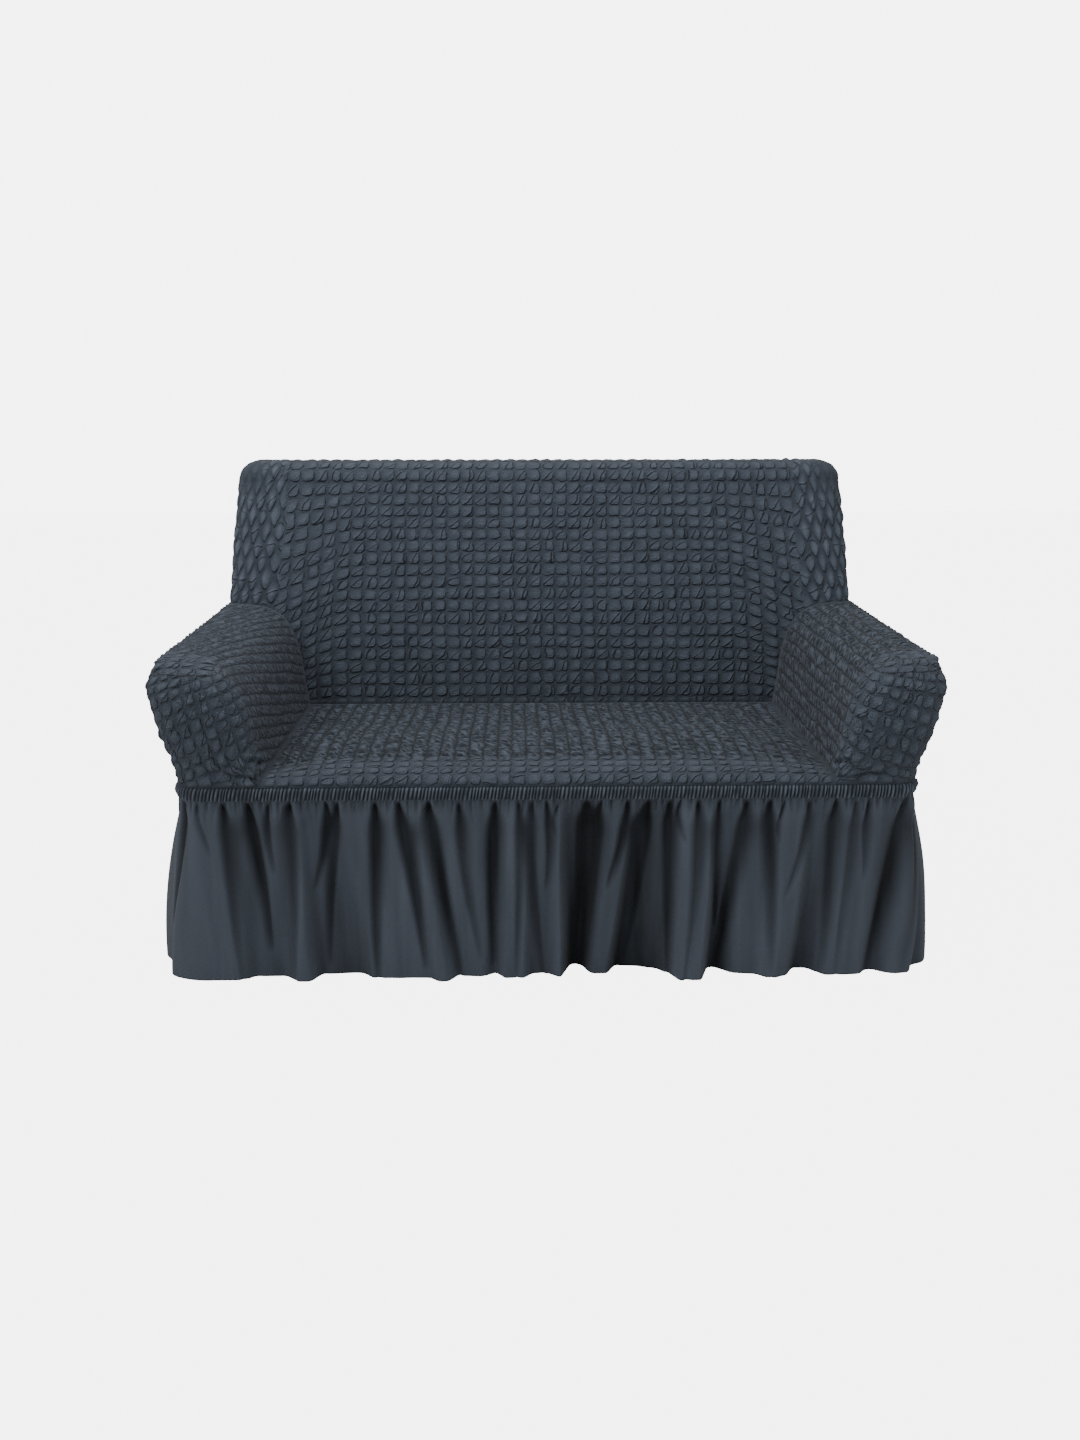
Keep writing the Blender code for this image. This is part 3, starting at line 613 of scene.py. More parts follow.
# ---- materials


class Web:
    """A node tree with short ways to add sums and textures."""

    def __init__(self, tree):
        self.nodes, self.links = tree.nodes, tree.links

    def add(self, kind, inputs=(), **settings):
        node = self.nodes.new("ShaderNode" + kind)
        for key, value in settings.items():
            setattr(node, key, value)
        for key, value in dict(inputs).items():
            if isinstance(value, bpy.types.NodeSocket):
                self.links.new(value, node.inputs[key])
            else:
                node.inputs[key].default_value = value
        return node

    def sum(self, operation, *values, clamp=False):
        return self.add("Math", enumerate(values), operation=operation, use_clamp=clamp).outputs[0]

    def times(self, first, second):
        return self.sum("MULTIPLY", first, second)

    def minus(self, first, second):
        return self.sum("SUBTRACT", first, second)

    def line(self, value, gain, start):
        return self.sum("MULTIPLY_ADD", value, gain, start)

    def ramp(self, value, gain, start):
        """A line held between 0 and 1."""
        return self.sum("MULTIPLY_ADD", value, gain, start, clamp=True)

    def power(self, value, exponent):
        return self.sum("POWER", self.sum("ABSOLUTE", value), exponent)

    def vector(self, operation, *values):
        return self.add("VectorMath", enumerate(values), operation=operation).outputs[0]

    def join(self, x, y):
        return self.add("CombineXYZ", {0: x, 1: y}).outputs[0]

    def split(self, vector):
        return self.add("SeparateXYZ", {0: vector}).outputs[:2]

    def weave(self):
        return self.add("UVMap", uv_map="weave").outputs["UV"]

    def field(self, name):
        return self.add("Attribute", attribute_name=name).outputs["Fac"]

    def noise(self, vector, scale, detail=0.0, output="Fac"):
        inputs = {"Vector": vector, "Scale": scale, "Detail": detail}
        return self.add("TexNoise", inputs).outputs[output]

    def stretched_noise(self, vector, scales, detail):
            return self.noise(self.vector("MULTIPLY", vector, scales), 1.0, detail)

    def bell(self, value, width, at=0.0):
        """1 where the value is at its place, falling to nothing over the width on both sides."""
        share = self.sum("DIVIDE", self.minus(value, at), width)
        return self.sum("EXPONENT", self.times(self.times(share, share), -1.0))

    def crease(self, value, width):
        """1 along the lines where a noise crosses its middle."""
        gap = self.sum("ABSOLUTE", self.minus(value, 0.5))
        return self.ramp(gap, -1 / width, 1.0)

    def blend(self, share, first, second):
        return self.add("Mix", {0: share, 2: first, 3: second}).outputs[0]


def node_group(name, inputs, outputs):
    """A node group of numbers: inputs with their defaults, and outputs."""
    group = bpy.data.node_groups.new(name, "ShaderNodeTree")
    for key, value in inputs.items():
        made = group.interface.new_socket(name=key, in_out="INPUT", socket_type="NodeSocketFloat")
        made.default_value = value
    for key in outputs:
        group.interface.new_socket(name=key, in_out="OUTPUT", socket_type="NodeSocketFloat")
    web = Web(group)
    return group, web, web.nodes.new("NodeGroupInput").outputs, web.nodes.new("NodeGroupOutput").inputs


MIDDLE = (0.5, 0.5, 0.5)
SQUARENESS = 3.5  # the exponent of the puckers' rounded squares


def pucker_marks():
    """Node group: lips, folds and crinkles of the puckers as a height, and the painted shade of their
    creases, with one UV unit a pucker.
    """
    inputs = {"Wobble": 0.22, "Crinkle": 2.9}
    group, web, inp, out = node_group("pucker marks", inputs, ("Height", "Line"))
    uv, loose = web.weave(), web.field("loose")
    along, rows = web.split(uv)
    stray = web.vector("SUBTRACT", web.noise(uv, 1.3, 1.0, "Color"), MIDDLE)
    wobble = web.line(loose, 0.45, inp["Wobble"])
    place = web.vector("ADD", uv, web.vector("MULTIPLY", stray, web.join(wobble, wobble)))
    dice = web.add("TexWhiteNoise", {"Vector": web.vector("FLOOR", place)}).outputs["Color"]
    dice = web.add("SeparateColor", {0: dice}).outputs
    across, up = web.split(web.vector("SUBTRACT", web.vector("FRACTION", place), MIDDLE))
    # How far a point lies past the edge of its pucker, on rounded squares.
    ring = web.sum("ADD", web.power(across, SQUARENESS), web.power(up, SQUARENESS))
    past = web.minus(web.sum("POWER", ring, 1 / SQUARENESS), web.line(dice[0], 0.07, 0.37))
    # A pucker rises from its upper left to a lip at its lower right and drops sharply behind it.
    right, down = web.line(dice[1], 0.8, 0.30), web.line(dice[1], 0.8, -1.10)
    tilt = web.line(across, right, web.times(up, down))
    patchy = web.ramp(web.noise(uv, 2.1, 1.0), 4.0, -1.35)
    side = web.times(web.ramp(tilt, 3.2, 0.15), patchy)
    face = web.ramp(past, -14.0, 0.60)
    rise = web.times(face, web.ramp(tilt, 0.95, 0.42))
    lip = web.times(web.bell(past, 0.036, -0.045), side)
    hook = web.times(web.times(web.bell(past, 0.035, -0.17), side), web.ramp(dice[2], -6.0, 3.2))
    # Slanting folds, each with a sharp shaded side.
    lean, fall = web.line(dice[2], 0.9, 0.2), web.line(dice[1], 0.8, -1.0)
    curl, off = web.line(dice[0], 2.4, -1.2), web.line(dice[0], -0.5, 0.30)
    gap = web.line(across, lean, web.line(up, fall, web.line(web.times(up, across), curl, off)))
    shade_side = web.bell(gap, 0.038, 0.075)
    shown = web.times(web.ramp(dice[2], 5.0, -1.6), face)
    fold = web.times(web.minus(web.bell(gap, 0.042), shade_side), shown)
    tuck = web.crease(web.noise(uv, 3.0, 1.5), 0.045)
    crumb = web.times(web.noise(uv, 7.0, 1.5), web.line(loose, 0.72, 0.45))
    pucker = web.times(rise, 0.80)
    for mark, weight in ((lip, 0.36), (hook, 0.34), (fold, 0.46), (tuck, 0.24), (crumb, 1.0)):
        pucker = web.line(mark, weight, pucker)
    # Where the cloth is drawn together along a rib, crinkles run square to it.
    slope = web.line(web.noise(uv, 1.7, 1.0), 0.9, web.line(up, 0.75, along))
    fine = web.join(web.times(slope, inp["Crinkle"]), web.times(rows, 1.3))
    ripple = web.ramp(web.noise(fine, 1.0, 1.0), 5.5, -2.3)
    off_rib = web.times(up, 2.0)
    valley = web.power(off_rib, 9.0)
    rib = web.minus(1.0, web.power(off_rib, 4.0))
    crinkled = web.times(rib, web.line(ripple, 0.75, 0.25))
    hatch, crisp = web.field("hatch"), web.field("crisp")
    height = web.blend(hatch, pucker, crinkled)
    web.links.new(web.times(height, crisp), out["Height"])
    # Painted shade: dark lines on the folds' shaded sides and just behind the puckers' lips.
    dark = web.line(shade_side, shown, web.times(web.bell(past, 0.034, 0.035), side))
    # Painted shade on the crinkles' shaded sides and in the valleys between the ribs.
    shaded = web.times(web.minus(1.0, ripple), web.times(rib, 0.9))
    line = web.blend(hatch, dark, web.line(valley, 1.1, shaded))
    web.links.new(web.sum("MULTIPLY", line, crisp, clamp=True), out["Line"])
    return group


def thread_grain():
    """Node group: the cloth's threads and a soft mottle, as a shade, and the threads' height."""
    inputs = {"Along": 24.0, "Across": 12.0, "Mottle": 22.0}
    group, web, inp, out = node_group("thread grain", inputs, ("Shade", "Height"))
    threads = web.stretched_noise(web.weave(), web.join(inp["Along"], inp["Across"]), 2.0)
    place = web.add("TexCoord").outputs["Object"]
    mottle = web.noise(place, inp["Mottle"], 3.0)
    web.links.new(web.line(threads, 0.5, web.times(mottle, 0.5)), out["Shade"])
    web.links.new(threads, out["Height"])
    return group


def new_material(name, rough, specular=0.18, sheen=0.06):
    material = bpy.data.materials.new(name)
    material.use_nodes = True
    web = Web(material.node_tree)
    shader = web.nodes["Principled BSDF"]
    for key, value in (("Roughness", rough), ("Specular IOR Level", specular), ("Sheen Weight", sheen)):
        shader.inputs[key].default_value = value
    shader.inputs["Sheen Roughness"].default_value = 0.5
    return material, web, shader


def finish_cloth(web, shader, factor, dark, light, height, bump):
    """Colour from dark to light by the factor, and a bump from the height."""
    colour = web.add("Mix", {0: factor, 6: (*dark, 1.0), 7: (*light, 1.0)}, data_type="RGBA")
    web.links.new(colour.outputs[2], shader.inputs["Base Color"])
    relief = web.add("Bump", {"Distance": bump, "Height": height})
    web.links.new(relief.outputs["Normal"], shader.inputs["Normal"])


def stretch_material(name, dark, light):
    """Bubble stretch cloth: marks of the puckers over threads, with painted shade in the stitched lines, the
    hollows and the creases, and painted light on the raised parts.
    """
    material, web, shader = new_material(name, 0.88)
    marks = web.add("Group", node_tree=PUCKER_MARKS).outputs
    threads = web.add("Group", node_tree=THREAD_GRAIN).outputs
    # Painted light and shade: lighter on the puckers' raised parts and lips, darker in their hollows and
    # stitched lines.
    lift = web.line(web.field("painted_shading"), 0.20, web.times(marks["Height"], 0.22))
    lift = web.line(threads["Shade"], 0.50, lift)
    # Painted shade lines along the creases are taken off the colour.
    factor = web.sum("SUBTRACT", lift, web.times(marks["Line"], 0.42), clamp=True)
    height = web.line(threads["Height"], 0.06, marks["Height"])
    finish_cloth(web, shader, factor, dark, light, height, 0.0036)
    return material


# The smooth cloth's marks: scales round and down, the combs' length, the place and edge of the hem's painted
# shadow line, and twill.
COMB_SCALE, COMB_LENGTH = (125.0, 9.0, 0.0), 0.030
STREAK_SCALE = (26.0, 3.0, 0.0)
HEM_AT, HEM_EDGE = 0.3565, 250.0
TWILL = {"Scale": 62.0, "Distortion": 0.4}


def smooth_material(name, dark, light, rough, painted_shading_weight, bump, sizes, twill=0.0):
    """Smooth cloth: threads, with painted shade in the hollows and painted light on the crests.

    With a twill it also has fine gathers that hang from the band, with painted shade in them, soft streaks
    and a painted shadow line along the hem."""
    material, web, shader = new_material(name, rough)
    threads = web.add("Group", sizes, node_tree=THREAD_GRAIN).outputs
    # Painted shade: darker in the hollows, lighter on the crests.
    factor = web.ramp(web.field("painted_shading"), painted_shading_weight, web.times(threads["Shade"], 0.9 - painted_shading_weight))
    height = threads["Height"]
    if twill:
        uv = web.weave()
        down = web.split(uv)[1]
        comb = web.ramp(web.stretched_noise(uv, COMB_SCALE, 0.5), 5.0, -2.0)
        comb = web.times(comb, web.ramp(down, -1 / COMB_LENGTH, 1.0))
        streak = web.line(web.stretched_noise(uv, STREAK_SCALE, 2.0), 1.6, -0.8)
        hem = web.ramp(down, HEM_EDGE, -HEM_EDGE * HEM_AT)
        # Painted shade in the fine gathers that hang from the band.
        factor = web.line(comb, -0.38, web.line(streak, 0.40, factor))
        # Painted shadow: a dark line along the hem's fold.
        factor = web.ramp(hem, -0.60, factor)
        lines = web.add("TexWave", {"Vector": uv, **TWILL}, bands_direction="DIAGONAL")
        height = web.line(lines.outputs["Fac"], twill, web.line(comb, -4.0, height))
    finish_cloth(web, shader, factor, dark, light, height, bump)
    return material


PUCKER_MARKS, THREAD_GRAIN = pucker_marks(), thread_grain()
bubbled = stretch_material("slate bubble stretch cloth", (0.012, 0.016, 0.022), (0.114, 0.137, 0.176))
shirred = smooth_material(
    "slate shirred band", (0.006, 0.008, 0.011), (0.116, 0.139, 0.176),
    rough=0.8, painted_shading_weight=0.8, bump=0.0006, sizes={"Along": 700.0, "Across": 260.0},
)
smooth = smooth_material(
    "slate smooth skirt cloth", (0.0095, 0.0115, 0.0145), (0.084, 0.100, 0.128),
    rough=0.75, painted_shading_weight=0.75, bump=0.0004, sizes={"Along": 1400.0, "Across": 1400.0}, twill=0.5,
)
STRETCH = (bubbled, "stretch_cloth", "stretched")
SHIRRED = (shirred, "heading_cloth", "gathered")
SMOOTH = (smooth, "skirt_cloth", "gathered")

# ---- inside back

BACK_COLUMNS, WALL_PUCKERS, CAP_PUCKERS = 62, 19, 5
MIDDLE_COLUMNS = 17.5  # full columns on each side of the middle, before they close up
SIDE_PITCH = 0.60  # width of the outermost columns against the middle ones
SIDE_START, SIDE_BLEND = 18.3, 1.6  # the column where the long puckers of the sides begin
LONG_ACROSS, LONG_UP = 0.80, 0.50  # their pitch, per column and per row
TUCK_OVER, TUCK_DOWN = 0.0055, 0.003  # how far the panel runs on behind the arms and the seat
BACK_SEED, LONG_SEED, SWAY_SEED, ROLL_SEED, EDGE_SEED = 21, 23, 5, 9, 3
SWAY, ROLL, SAG = 0.0030, 0.0045, 0.075  # sway of the columns, roll and hang of the rows


def column_places(lines):
    """Share of the back's outline, from -1 to 1, at each mesh line: columns close up towards the sides."""
    middle = np.abs((lines[1:] + lines[:-1]) / 2 - BACK_COLUMNS / 2)
    width = np.diff(lines) * mix(1.0, SIDE_PITCH, ease((middle - MIDDLE_COLUMNS) / 4))
    place = np.concatenate([[0.0], np.cumsum(width)])
    return 2 * place / place[-1] - 1


def inside_back():
    lines = cell_lines(BACK_COLUMNS, FINE_CELLS)
    b = cell_lines(WALL_PUCKERS + CAP_PUCKERS, FINE_CELLS)
    share, _ = net(column_places(lines), b)
    a, b = net(lines, b)
    rise = unit(b / WALL_PUCKERS)
    # The columns close in towards the seat, and the rows hang down towards the sides.
    q = share * (1 - 0.14 * (1 - rise) * (1 - np.abs(share) ** 3))
    q = q + SWAY * wander2(a / 3, b / 4, SWAY_SEED) * (1 - share**2)
    sag = SAG * ease((np.abs(q) - 0.48) / 0.26) * np.sin(pi * rise**0.8)
    z = mix(CREASE_Z - 0.012, BACK_TOP - TOP_ROUND, rise) - sag
    z = z + ROLL * wander2(a / 5, b / 3.0, ROLL_SEED) * np.sin(pi * rise)
    foot = np.minimum(foot_z(np.abs(q) - TUCK_OVER), foot_z(np.abs(q) + TUCK_OVER)) - TUCK_DOWN
    gone = (z < foot) & (b < WALL_PUCKERS)
    clear = np.where(b < WALL_PUCKERS, z - foot, 1.0)
    z = np.maximum(z, foot)
    x, y = back_outline(q, z)
    t = unit((b - WALL_PUCKERS) / CAP_PUCKERS)
    over = joined(*back_cap(q, t))
    grid = np.where((b > WALL_PUCKERS)[..., None], over, joined(x, y, z))
    column = np.abs(a - BACK_COLUMNS / 2)
    side = ease((column + 0.8 * wander(b / 2, EDGE_SEED) - SIDE_START) / SIDE_BLEND)
    height = puckers(a, b, BACK_SEED, fold_depth=0.42)
    across, up = LONG_ACROSS * a, LONG_UP * b
    long_height = puckers(across - up, across + up, LONG_SEED, folds=1, fold_depth=0.25)
    height = mix(height, 1.5 * long_height, side)
    corner = ease((column - 20.0) / 3.0) * ease((b - WALL_PUCKERS + 1.2) / 1.2)
    fade = ease(clear / BORDER) * ease((1 - t) * 6) * ease((1 - np.abs(share)) * 40) * (1 - 0.75 * corner)
    height = height * fade
    grid = raised(grid, height * BACK_HEIGHT - SINK * fade)
    # Painted light and shade: lighter on the puckers' raised parts, darker in their hollows, and painted
    # shade darker towards the seat.
    fields = {
        "painted_shading": height * (1 + 0.6 * side) - 0.9 * (1 - rise) ** 2,  # darker towards the seat
        "hatch": 0.0,
        "crisp": fade * (1 - 0.35 * side),
        "loose": 0.25,
    }
    ways = {"gone": gone, "swap": (side > 0.5, joined(across - up, across + up))}
    dress("back_inside_cloth", "back_inside", STRETCH, (1.70, 0.72), grid, fields, joined(a, b), **ways)


# ---- seat

SEAT_COLUMNS, SEAT_ROWS, SEAT_SEED = 39, 26, 33


def seat():
    a, b = cell_lines(SEAT_COLUMNS, FINE_CELLS), cell_lines(SEAT_ROWS, FINE_CELLS)
    grid = seat_skin(a / SEAT_COLUMNS, b / SEAT_ROWS)
    a, b = net(a, b)
    fade = ease(np.minimum(a, SEAT_COLUMNS - a) * 1.4) * ease(b * 5.0) * ease((SEAT_ROWS - b) * 2.5)
    height = puckers(a, b, SEAT_SEED, fold_depth=0.35, turned=pi / 2) * fade
    grid = raised(grid, height * SEAT_HEIGHT - SINK * fade)
    # Painted light and shade: lighter on the puckers' raised parts, darker in their hollows.
    fields = {"painted_shading": height, "hatch": 0.85 * ease((b - 2.6) / 1.6), "crisp": fade, "loose": 0.35}
    dress("seat_cloth", "seat_panel", STRETCH, (1.08, 0.70), grid, fields, joined(-b, -a))


# ---- arms

ARM_PARTS = ((0.0, 0.385, 205), (0.385, 0.535, 84), (0.535, 1.0, 190))  # share of the hoop, cells in it
ARM_CELLS_UP = 104
# Length of the arm's section up to each level, and along its hoop to each of HOOP's places.
SECTION = np.array([0.0, 0.051, 0.095, 0.138, 0.176, 0.210, 0.250, 0.294])
HOOP_LENGTH = np.array([0.0, 0.60, 0.67, 0.73, 0.81, 1.58])
ARM_TIP, TIP_REACH = (0.668, -0.385), 0.075  # plan place and size of the patch on the arm's front top
ARM_PUCKER = 0.0230
# For the left arm, -1, and the right arm, 1:
RIB = {-1: 0.0222, 1: 0.0245}  # pitch of the ribs along the arm
RIB_CLIMB = {-1: 0.235, 1: 0.0}  # how much the ribs climb towards the front
RIB_FALL = {-1: 0.40, 1: 0.25}  # how much they fall outwards over the front face
RIB_DRAWN = {-1: 0.72, 1: 0.95}  # how far the cloth is drawn together along them
RIB_SEED, OUTER_SEED, TIP_SEED, BEND_SEED = 50, 54, 58, 60  # -1 or 1 is added to each


def arm_lengths(along, level):
    """Length along the arm's hoop and up its section."""
    return np.interp(along, HOOP, HOOP_LENGTH), np.interp(level, np.arange(TOP_LEVEL + 1), SECTION)


def arm_cells(side, along, level, grid):
    """Coordinates of the ribs and puckers, those of the outer side, and those of the tip."""
    x, y, z = np.moveaxis(grid, -1, 0)
    length, up = arm_lengths(along, level)
    outer_top = (along > HOOP[4]) & (level > SEAM_LEVEL)
    up = np.where(outer_top, 2 * SECTION[-1] - up, up)
    length = np.where(outer_top, HOOP_LENGTH[1] + FRONT_Y - y, length)
    over_front = np.clip(length - HOOP_LENGTH[1], 0, HOOP_LENGTH[4] - HOOP_LENGTH[1])
    bend = 0.0035 * wander2(length / 0.16, up / 0.07, BEND_SEED + side)
    rise = up + RIB_CLIMB[side] * y + RIB_FALL[side] * np.where(outer_top, 0, over_front) + bend
    near = joined(side * length / ARM_PUCKER, rise / RIB[side])
    outer = joined(-side * y / PUCKER, z / PUCKER)
    tip = joined(side * x / PUCKER, (y + z) / PUCKER)
    return near, outer, tip


# Tucks at the foot of an arm's front: place along the hoop, level, rise along it, length and depth.
TUCKS = (
    (0.395, 0.55, 1.6, 0.035, 0.0050),
    (0.430, 0.30, 0.8, 0.050, 0.0060),
    (0.465, 0.62, -0.4, 0.040, 0.0040),
)
TUCK_HALF, TUCK_WAVE = 0.0045, 0.003  # half width of a tuck, and how far it strays


def tucks(side, along, level):
    """How deep the tucks at the arm's foot draw the cloth in."""
    length, up = arm_lengths(along, level)
    depth = np.zeros_like(along)
    for place, at_level, rise, reach, deep in TUCKS:
        past = length - np.interp(place + 0.006 * side, HOOP, HOOP_LENGTH)
        height = at_level * SECTION[1] + rise * 0.2 * past + TUCK_WAVE * np.sin(past * 60)
        gap = (up - height) / TUCK_HALF
        form = np.exp(-(gap**2)) - 0.6 * np.exp(-((gap - 2.0) ** 2))
        depth += deep * np.exp(-((past / reach) ** 4)) * form
    return depth


def arm(side):
    shares = [np.linspace(low, high, cells + 1)[:-1] for low, high, cells in ARM_PARTS]
    along = np.append(np.concatenate(shares), 1.0)
    level = np.interp(np.linspace(0, SECTION[-1], ARM_CELLS_UP + 1), SECTION, np.arange(TOP_LEVEL + 1))
    along, level = net(along, level)
    grid = arm_skin(along, level)
    near, outer, tip = arm_cells(side, along, level, grid)
    front = ease((along - 0.36) / 0.05) * (1 - ease((along - 0.56) / 0.05))
    side_wall = ease((along - 0.50) / 0.05) * ease((SEAM_LEVEL + 0.3 - level) / 0.6)
    from_tip = np.hypot(grid[..., 0] - ARM_TIP[0], grid[..., 1] - ARM_TIP[1])
    at_tip = ease((TIP_REACH - from_tip) / 0.02) * ease((level - 4.6) / 0.6)
    over_top = ease((level - 4.0) / 2.0)
    ribs = puckers(near[..., 0], near[..., 1], RIB_SEED + side, fold_depth=0.55)
    even_rib = 0.8 - 2.0 * np.abs(near[..., 1] % 1 - 0.5) ** 2.2
    height = mix(mix(ribs, even_rib, mix(0.38, 0.15, over_top)), ribs * 1.25, front)
    for cells, seed, share in ((outer, OUTER_SEED, side_wall), (tip, TIP_SEED, at_tip)):
        plain = puckers(cells[..., 0], cells[..., 1], seed + side, folds=2, fold_depth=0.3)
        height = mix(height, plain, share)
    foot = ease(level * 6.0)
    fade = foot * ease(along * 60) * ease((1 - along) * 60)
    height = height * fade
    hatch = unit(RIB_DRAWN[side] * (1 - front) * (1 - side_wall) * (1 - at_tip))
    flatter = 1 - hatch * mix(0.60, 0.10, over_top)
    grid = raised(grid, height * ARM_HEIGHT * flatter - SINK * fade - tucks(side, along, level) * foot)
    cells = np.where((at_tip > 0.5)[..., None], tip, np.where((side_wall > 0.5)[..., None], outer, near))
    # Painted light and shade: lighter on the puckers' raised parts, darker in their hollows, held towards a
    # middle tone where the cloth is crinkled along the ribs.
    painted_shading = mix(height, 0.50, 0.8 * hatch)
    fields = {"painted_shading": painted_shading, "hatch": hatch, "crisp": fade, "loose": 0.5 + 0.5 * front}
    if side < 0:
        grid, cells, fields = mirrored(grid, cells, fields)
    name = "arm_right" if side > 0 else "arm_left"
    dress(name + "_cloth", name, STRETCH, (1.60, 0.32), grid, fields, cells, close=True)


# ---- outside back

REAR_COLUMNS, REAR_ROWS, REAR_SEED = 48, 19, 71
SEAM_LAP = 1.0012  # the panel laps its side seams by this share of its width


def outside_back():
    a, b = cell_lines(REAR_COLUMNS, PLAIN_CELLS), cell_lines(REAR_ROWS, PLAIN_CELLS)
    grid = rear_skin(a / REAR_COLUMNS, b / REAR_ROWS)
    grid[..., 0] *= SEAM_LAP
    a, b = net(a, b)
    fade = ease(np.minimum(np.minimum(a, REAR_COLUMNS - a), np.minimum(b, REAR_ROWS - b)) * 2.5)
    height = puckers(a, b, REAR_SEED, folds=2, fold_depth=0.25) * fade
    grid = raised(grid, SINK * fade - height * BACK_HEIGHT)[::-1]
    # Painted light and shade: lighter on the puckers' raised parts, darker in their hollows.
    fields = {"painted_shading": height[::-1], "hatch": 0.0, "crisp": 0.7 * fade[::-1], "loose": 0.0}
    cells = joined(-a, b)[::-1]
    dress("back_outside_cloth", "back_outside", STRETCH, (1.44, 0.58), grid, fields, cells)


# ---- heading

HEADING_ROWS = 6
RUFFLE_CELLS = 6  # mesh cells across one ruffle
TURNED_IN = 0.004  # the upper edge turns in this far under the stretch cloth
HEADING_OUT, HEADING_SWELL, RUFFLE_OUT = 0.0002, 0.0016, 0.0058  # how far band and ruffles stand out
RUFFLE_STRAY, RUFFLE_HANG, HEADING_OVER = 0.0022, 0.0016, 0.0012  # aside, down, and up over the seam
STRAY_SEED, PITCH_SEED, SWELL_SEED = 4, 9, 8


def heading():
    count = int(round(2 * HALF_LOOP / RUFFLE))
    a = cell_lines(count, np.linspace(0, 1, RUFFLE_CELLS + 1)[:-1])
    a, b = net(a, np.linspace(0, 1, HEADING_ROWS + 1))
    along = -HALF_LOOP + a * (2 * HALF_LOOP / count)
    lean = (0.0040 - 0.0030 * along) * (b - 0.5) + RUFFLE_STRAY * wander(a / 3, STRAY_SEED)
    wave = 0.5 + 0.5 * np.cos(2 * pi * a + 1.2 * wander(a / 2, PITCH_SEED))
    swell = 0.65 + 0.35 * wander2(a, 2 * b, SWELL_SEED)
    full = 4 * b * (1 - b)
    out = HEADING_OUT + HEADING_SWELL * full + RUFFLE_OUT * wave * swell * (0.45 + 0.55 * full)
    out = mix(out, -TURNED_IN, unit((b - 1) * HEADING_ROWS + 1))
    x, y = loop_point(along + lean, out)[:2]
    low = HEADING_BOTTOM - RUFFLE_HANG * wave * swell
    grid = joined(x, y, mix(low, HEADING_TOP + HEADING_OVER, b))
    # Painted light on the ruffles' crests and painted shade between them.
    fields, cells = {"painted_shading": wave * swell * 1.3}, joined(along, b * 0.024)
    dress("heading_cloth", "heading", SHIRRED, (5.2, 0.026), grid, fields, cells, close=True)


# ---- skirt

SKIRT_CELL = 0.0028  # mesh pitch along the skirt
SKIRT_LINES = 64
SKIRT_TAKE_UP, SKIRT_DROP = 1.3, 0.36  # cloth per length of the heading, and its length down


def skirt(node, start, end, folds, side, flat, leans=None):
    cells = int(round((end - start) / SKIRT_CELL))
    along, drop = net(np.linspace(start, end, cells + 1), np.linspace(1, 0, SKIRT_LINES + 1) ** 1.25)
    grid, inner = skirt_skin(start, end, along, drop, folds, leans)
    cells = joined(along * SKIRT_TAKE_UP, drop * SKIRT_DROP)
    # Painted shade, darker in the hollows of the folds and gathers.
    fields = {"painted_shading": unit(1 - inner)}
    if side < 0:
        grid, cells, fields = mirrored(grid, cells, fields)
    dress(node + "_cloth", node, SMOOTH, flat, grid, fields, cells)


# ---- the whole

REAR_END = 2 * HALF_LOOP - REAR_SEAM
# Widths of the skirt with seeded folds: node, start and end along the heading, seed, side, flat size.
SEEDED_SKIRTS = (
    ("skirt_right", SIDE_SEAM, REAR_SEAM, 5, 1, (0.86, 0.37)),
    ("skirt_left", SIDE_SEAM, REAR_SEAM, 8, -1, (0.86, 0.37)),
    ("skirt_back", REAR_SEAM, REAR_END, 11, 1, (2.10, 0.37)),
)

inside_back()
seat()
arm(1)
arm(-1)
outside_back()
heading()
skirt("skirt_front", -SIDE_SEAM, SIDE_SEAM, FRONT_FOLDS, 1, (2.10, 0.37), FRONT_LEAN)
for node, start, end, seed, side, flat in SEEDED_SKIRTS:
    skirt(node, start, end, seeded_folds(start, end, seed), side, flat)

# ---- floor, light and camera

FLOOR_HALF, FLOOR_GREY, FLOOR_GLOW, GLOW_SHARE = 9.0, 0.62, 7.0, 0.8
WORLD_LIGHT, WORLD_SEEN = 0.64, 6.0  # the world's strength on the cloth, and as seen behind it


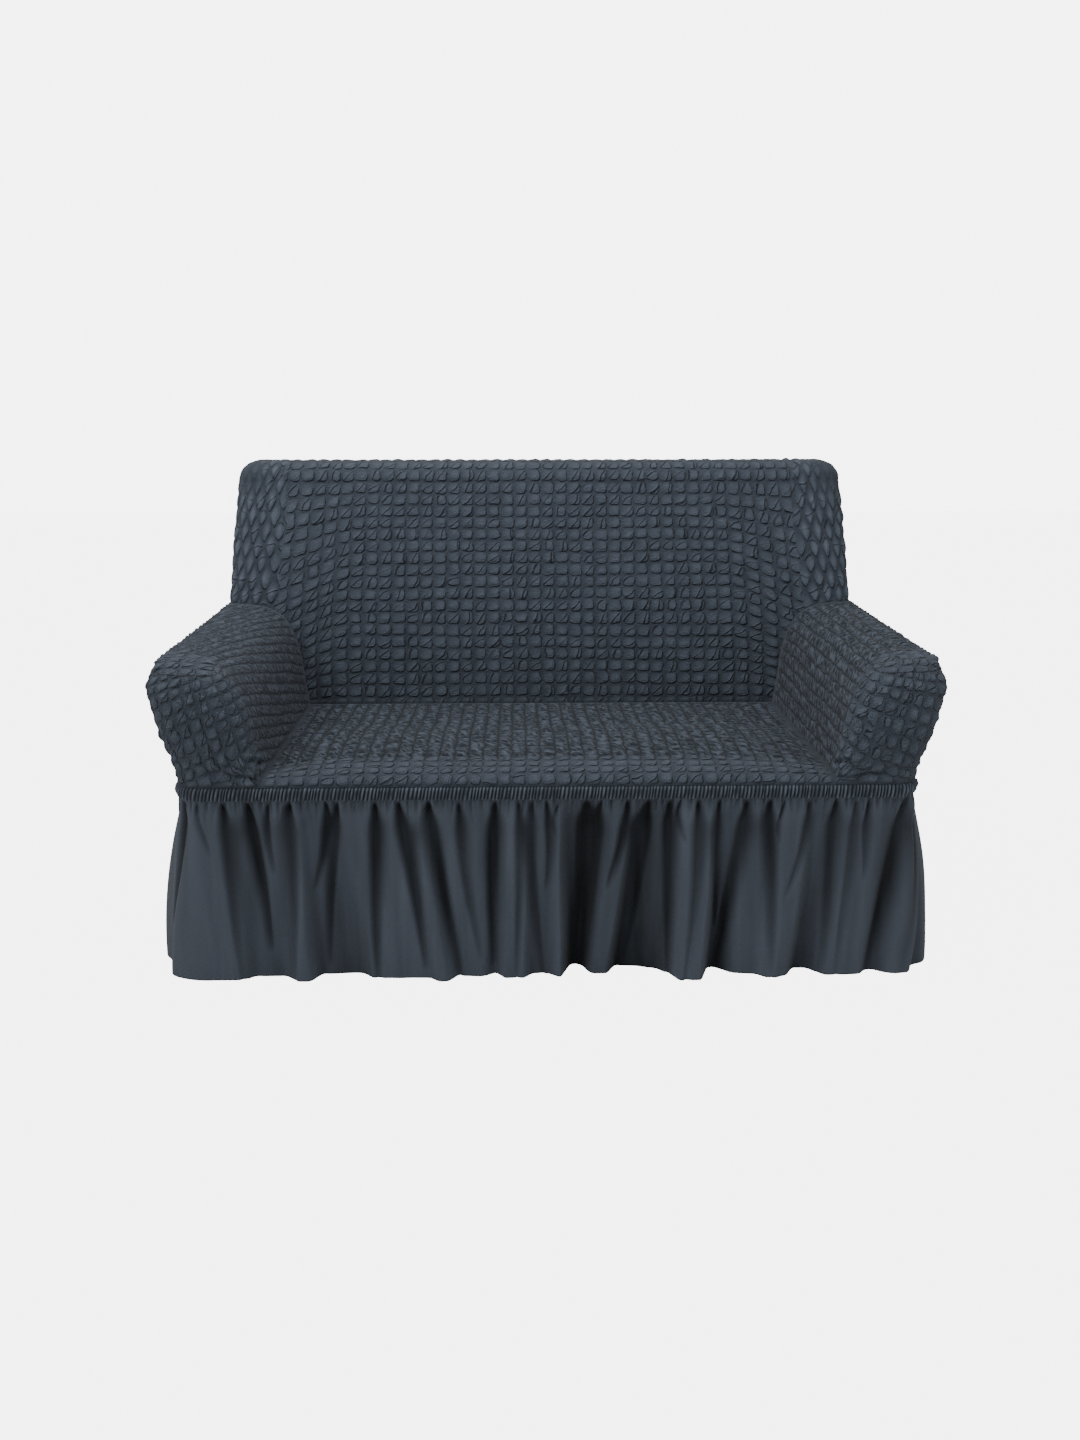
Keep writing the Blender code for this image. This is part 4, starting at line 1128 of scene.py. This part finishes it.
def studio_floor():
    """A pale floor that glows where it is seen directly, to look like the wall behind it."""
    bm = bmesh.new()
    bmesh.ops.create_grid(bm, x_segments=1, y_segments=1, size=FLOOR_HALF)
    mesh = bpy.data.meshes.new("studio floor")
    bm.to_mesh(mesh)
    bm.free()
    pale, web, shader = new_material("pale floor", 0.9, specular=0.1, sheen=0.0)
    shader.inputs["Base Color"].default_value = (FLOOR_GREY, FLOOR_GREY, FLOOR_GREY, 1.0)
    glow = web.add("Emission", {"Strength": FLOOR_GLOW}).outputs[0]
    seen = web.add("LightPath").outputs["Is Camera Ray"]
    share = web.times(seen, GLOW_SHARE)
    both = web.add("MixShader", {0: share, 1: shader.outputs[0], 2: glow})
    web.links.new(both.outputs[0], web.nodes["Material Output"].inputs["Surface"])
    mesh.materials.append(pale)
    floor = added("studio floor", mesh)


def turned_light(name, kind, place, tilt, turn, power, **sizes):
    """A soft light: tilt is how far it leans off straight down, towards the side that turn gives."""
    lamp = bpy.data.lights.new(name, kind)
    lamp.energy = power
    for key, value in sizes.items():
        setattr(lamp, key, value)
    made = added(name, lamp)
    made.location = place
    made.rotation_euler = (radians(tilt), 0.0, radians(turn))


def camera():
    lens = bpy.data.cameras.new("camera")
    lens.sensor_fit = "VERTICAL"
    lens.sensor_height = 36.0
    lens.lens = 32.5
    made = added("camera", lens)
    made.location = (-0.0663, -2.7490, 1.11)
    made.rotation_euler = (radians(75.5), 0.0, radians(-1.2))
    bpy.context.scene.camera = made


def surroundings():
    world = bpy.data.worlds.new("studio")
    world.use_nodes = True
    web = Web(world.node_tree)
    back = web.nodes["Background"]
    back.inputs["Color"].default_value = (1.0, 1.0, 1.0, 1.0)
    seen = web.add("LightPath").outputs["Is Camera Ray"]
    web.links.new(web.blend(seen, WORLD_LIGHT, WORLD_SEEN), back.inputs["Strength"])
    bpy.context.scene.world = world


studio_floor()
turned_light(
    "overhead light", "AREA", (-0.35, -0.25, 2.15), 10.0, -20.0, 17.0, shape="RECTANGLE", size=1.7, size_y=0.7
)
turned_light("key light", "SUN", (-2.0, -1.0, 2.0), 46.0, -46.0, 0.80, angle=radians(14))
camera()
surroundings()
